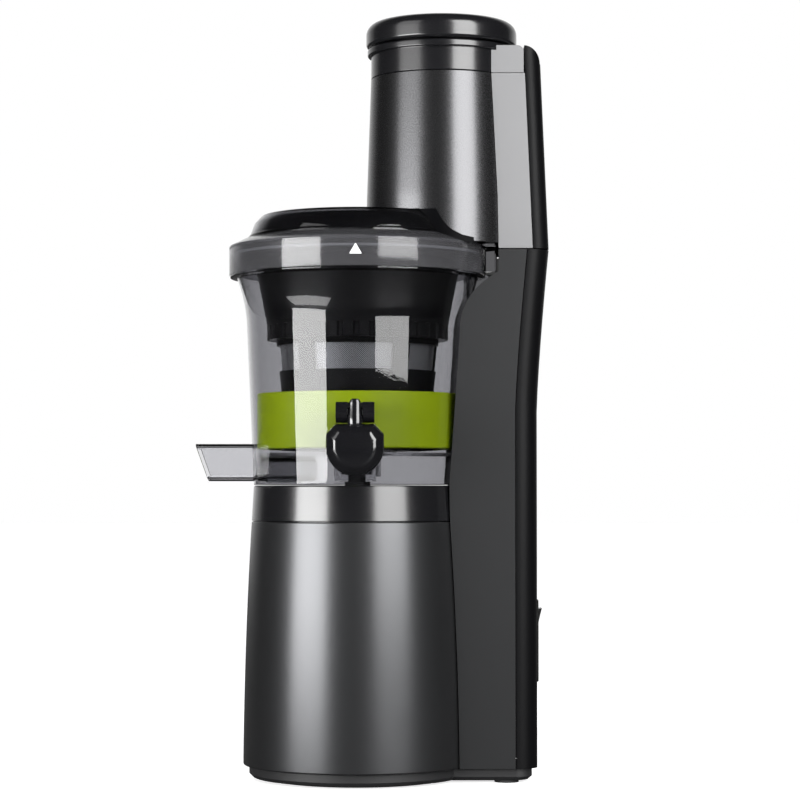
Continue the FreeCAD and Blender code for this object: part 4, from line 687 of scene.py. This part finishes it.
cap_black = finish("cap_black", (0.005, 0.005, 0.006), 0.14, grain=900.0, grain_depth=0.00001,
                   Specular_IOR_Level=0.7, Coat_Weight=0.4, Coat_Roughness=0.08)
fit(eased(smooth_copy("juice_spout", "juice_spout_box"), 0.5), smoke, "bowl", "clear_smoke", "juice_spout")
fit(eased(smooth_copy("spout_hinge_block", "hinge_block"), 0.6), cap_black, "bowl", "cap_black",
    "spout_hinge_block")
coat("spout_hinge_pin", zinc)
coat("spout_cap_pad", silicone)


def shield(inset, y):
    """Ring of the cap's outline at depth y: round below, straight sides, two sloping shoulders."""
    half, top, side_top = cap_half - inset, cap_top - inset, cap_side_top - side_fall * inset
    shoulder = cap_top_half - inset / 2
    ring = rounded([(-half, cap_centre - half, half), (half, cap_centre - half, half),
                    (half, side_top, cap_corner), (shoulder, top, cap_corner), (-shoulder, top, cap_corner),
                    (-half, side_top, cap_corner)], steps=12)
    return np.stack([ring[:, 0], np.full(len(ring), y), ring[:, 1]], -1)


cap_rings = [shield(inset, y) for inset, y in cap_outside]
cap_rings += [np.broadcast_to((0.0, y, cap_centre), cap_rings[0].shape)
              for y in (-cap_crown, cap_wall - cap_crown)]
cap_rings += [shield(inset + cap_wall, y + cap_depth) for inset, y in reversed(cap_outside[1:])]
cap_rings.append(shield(cap_wall, -cap_back))
cap = surface("flip_cap", np.stack(cap_rings), close_rows=True, close_columns=True)

a = np.linspace(0.0, 2 * math.pi, 40, endpoint=False)
level = np.ones_like(a)
boss = capped("cap_boss", [
    np.stack([boss_radius * np.cos(a), y * level, boss_height + boss_radius * np.sin(a)], -1)
    for y in boss_span])
knuckle = capped("cap_knuckle", [
    np.stack([x * level, hinge_place[0] + r * np.cos(a), hinge_place[1] + r * np.sin(a)], -1)
    for x, r in knuckle_stations])
lever = capped("cap_lever", [
    np.stack([half * np.cos(a), y + depth * np.sin(a), z * level], -1)
    for z, half, y, depth in lever_stations])
for piece in (cap, boss, knuckle, lever):
    fit(piece, cap_black, "spout_cap", "cap_black", "spout_cap")


# Strainer
# Black moulded basket that hangs from its rim in the bowl's neck. A notched flange divides it: the
# cone above is closed, and the drum below has ten low and five high windows over a steel mesh.
strainer_wall = 2.2
drum_foot, drum_waist, drum_head = (44.2, 190.3), (44.7, 226.4), (47.6, 254.6)
strainer_profile = np.array([
    drum_foot, (44.28, 196.4), (44.63, 221.4), drum_waist, (45.73, 236.4), (47.27, 251.4), drum_head,
    (52.9, 254.6), (52.9, 263.1), (52.9, 263.3), (58.2, 290.4), (61.2, 301.7), (69.6, 301.7)])
tooth_rows = (7, 8)
tooth_count, tooth_columns, tooth_depth = 36, 3, 1.4
high_windows, high_rows, high_angle, high_middle = 5, (4,), 60.0, -92.5
low_windows, low_rows, low_angle, low_middle = 10, (1,), 25.0, 18.0
mesh_low, mesh_inset, mesh_thickness = 195.7, 2.3, 0.4
wires_round, wires_up, hole_edge = 260.0, 5600.0, (-0.1, 0.25)

strainer_black = finish("strainer_black", (0.005, 0.005, 0.0055), 0.36, grain=1200.0, Specular_IOR_Level=0.3)

segments = 360
angle = np.arange(segments, dtype=float)


def windowed(row_choice, count, width, middle):
    """True for the grid's quads that lie in one of count windows of the given width round the drum."""
    pitch = 360.0 / count
    offset = (angle + 0.5 - middle + pitch / 2) % pitch - pitch / 2
    cut = np.zeros((segments, len(strainer_profile)), dtype=bool)
    for row in row_choice:
        cut[:, row] = np.abs(offset) < width / 2
    return cut


cuts = windowed(high_rows, high_windows, high_angle, high_middle)
cuts |= windowed(low_rows, low_windows, low_angle, low_middle)
a = np.radians(angle)[:, None]
r = np.broadcast_to(strainer_profile[:, 0], (segments, len(strainer_profile))).copy()
notch = (angle + 1) % (360 // tooth_count) < tooth_columns
for row in tooth_rows:
    r[notch, row] -= tooth_depth
h = np.broadcast_to(strainer_profile[:, 1], r.shape)
strainer = surface("strainer_basket", np.stack([r * np.cos(a), r * np.sin(a), h], -1), close_rows=True,
                   keep=~cuts)
fit(walled(strainer, strainer_wall), strainer_black, "bowl", "strainer_black", "strainer_frame")


def mesh_finish(name):
    """Fine woven steel screen. It has a hole where sin(wires_round * turn) * sin(wires_up * z) is high, with
    the turn about Z and z from Object coordinates."""
    material = finish(name, (0.52, 0.53, 0.54), 0.35, metallic=0.7, grain=2500.0)
    tree = material.node_tree
    place = apart(tree, tree.nodes.new("ShaderNodeTexCoord").outputs["Object"])
    turn = maths(tree, "ARCTAN2", place["Y"], place["X"])
    waves = [maths(tree, "SINE", maths(tree, "MULTIPLY", source, rate))
             for source, rate in ((turn, wires_round), (place["Z"], wires_up))]
    solid = ranged(tree, maths(tree, "MULTIPLY", *waves), hole_edge, (1.0, 0.0))
    set_input(tree.nodes["Principled BSDF"].inputs["Alpha"], solid)
    return material


low_share = (mesh_low - drum_foot[1]) / (drum_waist[1] - drum_foot[1])
low_radius = drum_foot[0] + (drum_waist[0] - drum_foot[0]) * low_share
screen = turned("steel_screen", [
    (radius - mesh_inset, height) for radius, height in ((low_radius, mesh_low), drum_waist, drum_head)],
    closed=False)
fit(walled(screen, mesh_thickness), mesh_finish("steel_screen"), "bowl", "mesh_steel", "strainer_mesh")


# Wiper ring, blades and pinion
# Green ring that the wheel train turns between the strainer and the bowl, with three silicone blades
# that brush both walls.
ring_radius, ring_wall, ring_low, ring_high = 58.6, 1.9, 191.4, 223.4
ring_lead, ring_step = 0.4, 1.0
shelf_low, shelf_high, shelf_inner = 190.9, 193.9, 53.0
green = finish("wiper_green", (0.41, 0.555, 0.006), 0.36, grain=500.0, tint=0.04, Specular_IOR_Level=0.25)
ring_inside = ring_radius - ring_wall
fit(turned("green_ring", rounded([
    (shelf_inner, shelf_low, 0.4), (ring_inside, shelf_low), (ring_radius - ring_lead, ring_low, 0.5),
    (ring_radius, ring_low + ring_step), (ring_radius, ring_high, 0.8), (ring_inside, ring_high, 0.8),
    (ring_inside, shelf_high), (shelf_inner, shelf_high, 0.4)])),
    green, "wiper", "wiper_green", "wiper_ring")
fit(eased(smooth_copy("wiper_blades", "silicone_blades"), 0.4), silicone, "wiper", "seal_silicone",
    "wiper_blades")
fit(smooth_copy("wiper_pinion", "ring_pinion"), nylon, "wiper_pinion", "gear_nylon", "wiper_pinion")


# Auger
# Black crushing screw with one rising flight on a tapering core. Its toothed foot drives the wheel train
# and a steel hub with a hexagonal bore is moulded into it.
auger_black = finish("auger_black", (0.016, 0.016, 0.017), 0.34, grain=700.0, Specular_IOR_Level=0.6)
fit(smooth_copy("auger", "crushing_screw"), auger_black, "auger", "auger_black", "auger")
coat("auger_hub", ground_steel)


# Lid
# Smoked clear lid whose skirt turns onto the bowl's neck, with a moulded groove and a locking lug at the
# spine. A gloss black cover fills its dome, and a white triangle marks the closed position.
lid_low, skirt_top, shelf_rise = 292.7, 309.2, 314.2
skirt_radius, shelf_radius = 75.1, 64.6
groove_low, groove_high, groove_depth = 307.3, 308.1, 0.5
dome_side = [(62.8, 316.2, 0.5), (60.5, 322.5), (55.8, 327.5, 3.0)]
dome_top, dome_flat = 327.5, 50.0
lid_wall, lid_segments = 1.9, 240
lug_low, lug_high, lug_reach, lug_half, lug_round = 294.1, 310.4, 81.6, 14.0, 0.8
cover_low, cover_ceiling, cover_radius = 304.2, 309.7, 69.4
cover_side = [(62.3, cover_ceiling, 0.8), (60.2, 315.2, 1.0), (58.2, 321.3), (54.0, 325.2, 3.0)]
cover_top, cover_flat = 325.2, 48.0
feed_x, feed_bore, feed_window_radius = 49.1, 38.0, 50.0

lid_smoke = clear("smoked_lid", (0.40, 0.40, 0.42))
skirt_smoke = clear("smoked_lid_skirt", (0.40, 0.40, 0.42), roughness=0.10, passed=0.93)


def opened(name, outline):
    """Turned sheet with the lid's wall. The quads of the feed opening are left out, which is the overlap of
    the feed bore's circle and the mouth's circle."""
    outline = np.asarray(outline, dtype=float)
    middle = (outline[:, 0] + np.roll(outline[:, 0], -1)) / 2
    a = (np.arange(lid_segments) + 0.5)[:, None] * 2 * math.pi / lid_segments
    x, y = middle * np.cos(a), middle * np.sin(a)
    keep = ~((np.hypot(x - feed_x, y) < feed_bore) & (np.hypot(x, y) < feed_window_radius))
    return walled(turned(name, outline, segments=lid_segments, closed=False, keep=keep), lid_wall)


def domed(foot, side, flat, top, steps=14):
    """Outline from the foot up the dome's side, then level from the flat's radius in to the axis."""
    climb = rounded([(0.0, foot[0][1]), *foot, *side, (0.0, top)])[1:-1]
    return np.concatenate([climb, [(r, top) for r in np.linspace(flat, 0.0, steps)[1:]]])


groove_radius = skirt_radius - groove_depth
skirt = rounded([
    (0.0, lid_low), (skirt_radius, lid_low), (skirt_radius, groove_low), (groove_radius, groove_low),
    (groove_radius, groove_high), (skirt_radius, groove_high), (skirt_radius, skirt_top, 0.8),
    (shelf_radius, shelf_rise), (0.0, shelf_rise)])[1:-1]
fit(opened("smoked_skirt", skirt), skirt_smoke, "lid", "lid_smoke", "lid_shell")
dome = domed([(shelf_radius, shelf_rise)], dome_side, dome_flat, dome_top)
fit(opened("smoked_dome", dome), lid_smoke, "lid", "lid_smoke", "lid_shell")

lug_root = skirt_radius - lid_wall
lug = rounded([(lug_root, lug_low), (lug_reach, lug_low, lug_round), (lug_reach, lug_high, lug_round),
               (lug_root, lug_high)])
fit(capped("lid_lug", across(lug, lug_half)), deep_smoke, "lid", "lid_smoke", "lid_shell")

cover_foot = [(cover_radius, cover_low), (cover_radius, cover_ceiling, 0.8)]
cover = domed(cover_foot, cover_side, cover_flat, cover_top)
fit(opened("dome_cover", cover), piano_black, "lid", "gloss_black", "lid_inner_cover")
coat("lid_seal", silicone)
mark_paint = finish("mark_white", (0.86, 0.86, 0.86), 0.5, grain=1200.0, tint=0.02)
coat("alignment_mark", mark_paint)


# Feed tower, liner and collar
# Round metallic tower that stands on the lid, scooped to the dome at its foot. A black liner with a
# sloping floor leads food to the strainer's mouth, and a gloss collar finishes its top.
tower_heights = [309.3, 337.0, 407.6]
tower_radii = [44.2, 43.7, 41.25]
tower_wall, tower_segments, foot_gap = 1.8, 288, 0.3
collar_seam, collar_lip_low, tower_top = 407.9, 421.3, 425.5
collar_foot, collar_waist, collar_lip_radius = 41.25, 41.15, 43.3
liner_radius = 39.4
lid_corners = [(0.0, dome_top), dome_side[2][:2], dome_side[1], dome_side[0][:2], (shelf_radius, shelf_rise),
               (75.3, skirt_top), (75.4, 309.0)]
scoop_corners = [(0.0, 327.6), (45.2, 327.6), (46.1, 326.0), (49.0, 321.0), (51.6, 318.0), (54.6, 315.6),
                 (60.3, 312.8), (67.4, 311.4)]
scoop_start, scoop_end = math.radians(66.56), math.radians(155.97)
scoop_out, scoop_wall, scoop_sink, scoop_least = 0.9, 0.8, 0.5, 0.2

tower_metal = finish("tower_lacquer", (0.082, 0.082, 0.085), 0.27, metallic=0.95, grain=2600.0,
                     grain_depth=0.00001, spread=0.05, tint=0.08, Coat_Weight=0.3, Coat_Roughness=0.18)


def lid_height(rho):
    """Height of the lid's outer face at a distance from the bowl's axis, straight from corner to corner."""
    return np.interp(rho, *zip(*lid_corners))


a = np.linspace(0.0, 2 * math.pi, tower_segments, endpoint=False)[:, None]
foot = lid_height(np.hypot(feed_x + tower_radii[0] * np.cos(a), tower_radii[0] * np.sin(a))) + foot_gap
foot = np.maximum(foot, tower_heights[0])
share = np.linspace(0.0, 1.0, 24)[None]
h = foot + share * (tower_heights[2] - foot)
r = np.interp(h, tower_heights, tower_radii)
tower = surface("metal_tower", np.stack([feed_x + r * np.cos(a), r * np.sin(a), h], -1), close_rows=True)
fit(eased(walled(tower, tower_wall), 0.35), tower_metal, "lid", "metallic_tower", "feed_tower")

# The dome's black cover runs up round the tower's foot and falls to the shelf in a hollow curve.
scoop_black = finish("scoop_black", (0.0015, 0.0015, 0.002), 0.42, grain=2200.0, Specular_IOR_Level=0.05)
for name, side in (("front", -1.0), ("back", 1.0)):
    a = side * np.linspace(scoop_start, scoop_end, 120)[:, None]
    r = tower_radii[0] + scoop_out
    x, y = feed_x + r * np.cos(a), r * np.sin(a)
    low = lid_height(np.hypot(x, y)) - scoop_sink
    high = np.maximum(np.interp(x, *zip(*scoop_corners)), low + scoop_least)
    share = np.linspace(0.0, 1.0, 4)[None]
    grid = np.stack([x + 0 * share, y + 0 * share, low + share * (high - low)], -1)
    hollow = surface("tower_scoop_" + name, grid)
    fit(eased(walled(hollow, scoop_wall), 0.25), scoop_black, "lid", "gloss_black", "lid_inner_cover")
fit(smooth_copy("feed_liner", "feed_chute_liner"), satin_black, "lid", "gloss_black", "feed_liner")
fit(turned("tower_gloss_collar", rounded([
    (liner_radius, collar_seam), (collar_foot, collar_seam, 0.4), (collar_waist, collar_lip_low),
    (collar_lip_radius, collar_lip_low, 0.8), (collar_lip_radius, tower_top, 1.2),
    (liner_radius, tower_top, 0.5)]), x=feed_x), piano_black, "lid", "gloss_black", "tower_collar")


# Rear block of the feed tower
# Two-part metallic block behind the tower with a dark back cover that continues the spine's back strip.
# Its magnet trips the safety sensor when the lid is closed.
side_metal = finish("block_lacquer", (0.245, 0.245, 0.25), 0.52, metallic=0.5, grain=2600.0,
                    grain_depth=0.00001, tint=0.05)
fit(eased(smooth_copy("hopper_side", "block_side"), 0.35), side_metal, "lid", "metallic_side", "hopper_side")
fit(eased(smooth_copy("hopper_cap", "block_cap"), 0.35), side_metal, "lid", "metallic_side", "hopper_cap")
fit(smooth_copy("hopper_back_cover", "block_back"), satin_black, "lid", "back_dark", "hopper_back_cover")
coat("interlock_magnet", ground_steel)


# Pusher
# Gloss black cap on a hollow black tube, which slides in the feed bore to press food down.
pusher_low, pusher_high, pusher_radius = 426.3, 441.0, 44.1
crown_radius, crown_drop = 22.0, 0.4
stem_radius, stem_foot = 37.2, 352.5
fit(turned("pusher_knob", rounded([
    (0.0, pusher_low), (pusher_radius, pusher_low, 2.0), (pusher_radius, pusher_high - crown_drop, 7.0),
    (crown_radius, pusher_high, 10.0), (0.0, pusher_high)], steps=9), x=feed_x), piano_black, "pusher",
    "gloss_black", "pusher_cap")
fit(turned("pusher_stem", rounded([
    (0.0, stem_foot), (stem_radius, stem_foot, 1.5), (stem_radius, pusher_low), (0.0, pusher_low)]),
    x=feed_x), satin_black, "pusher", "gloss_black", "pusher_tube")
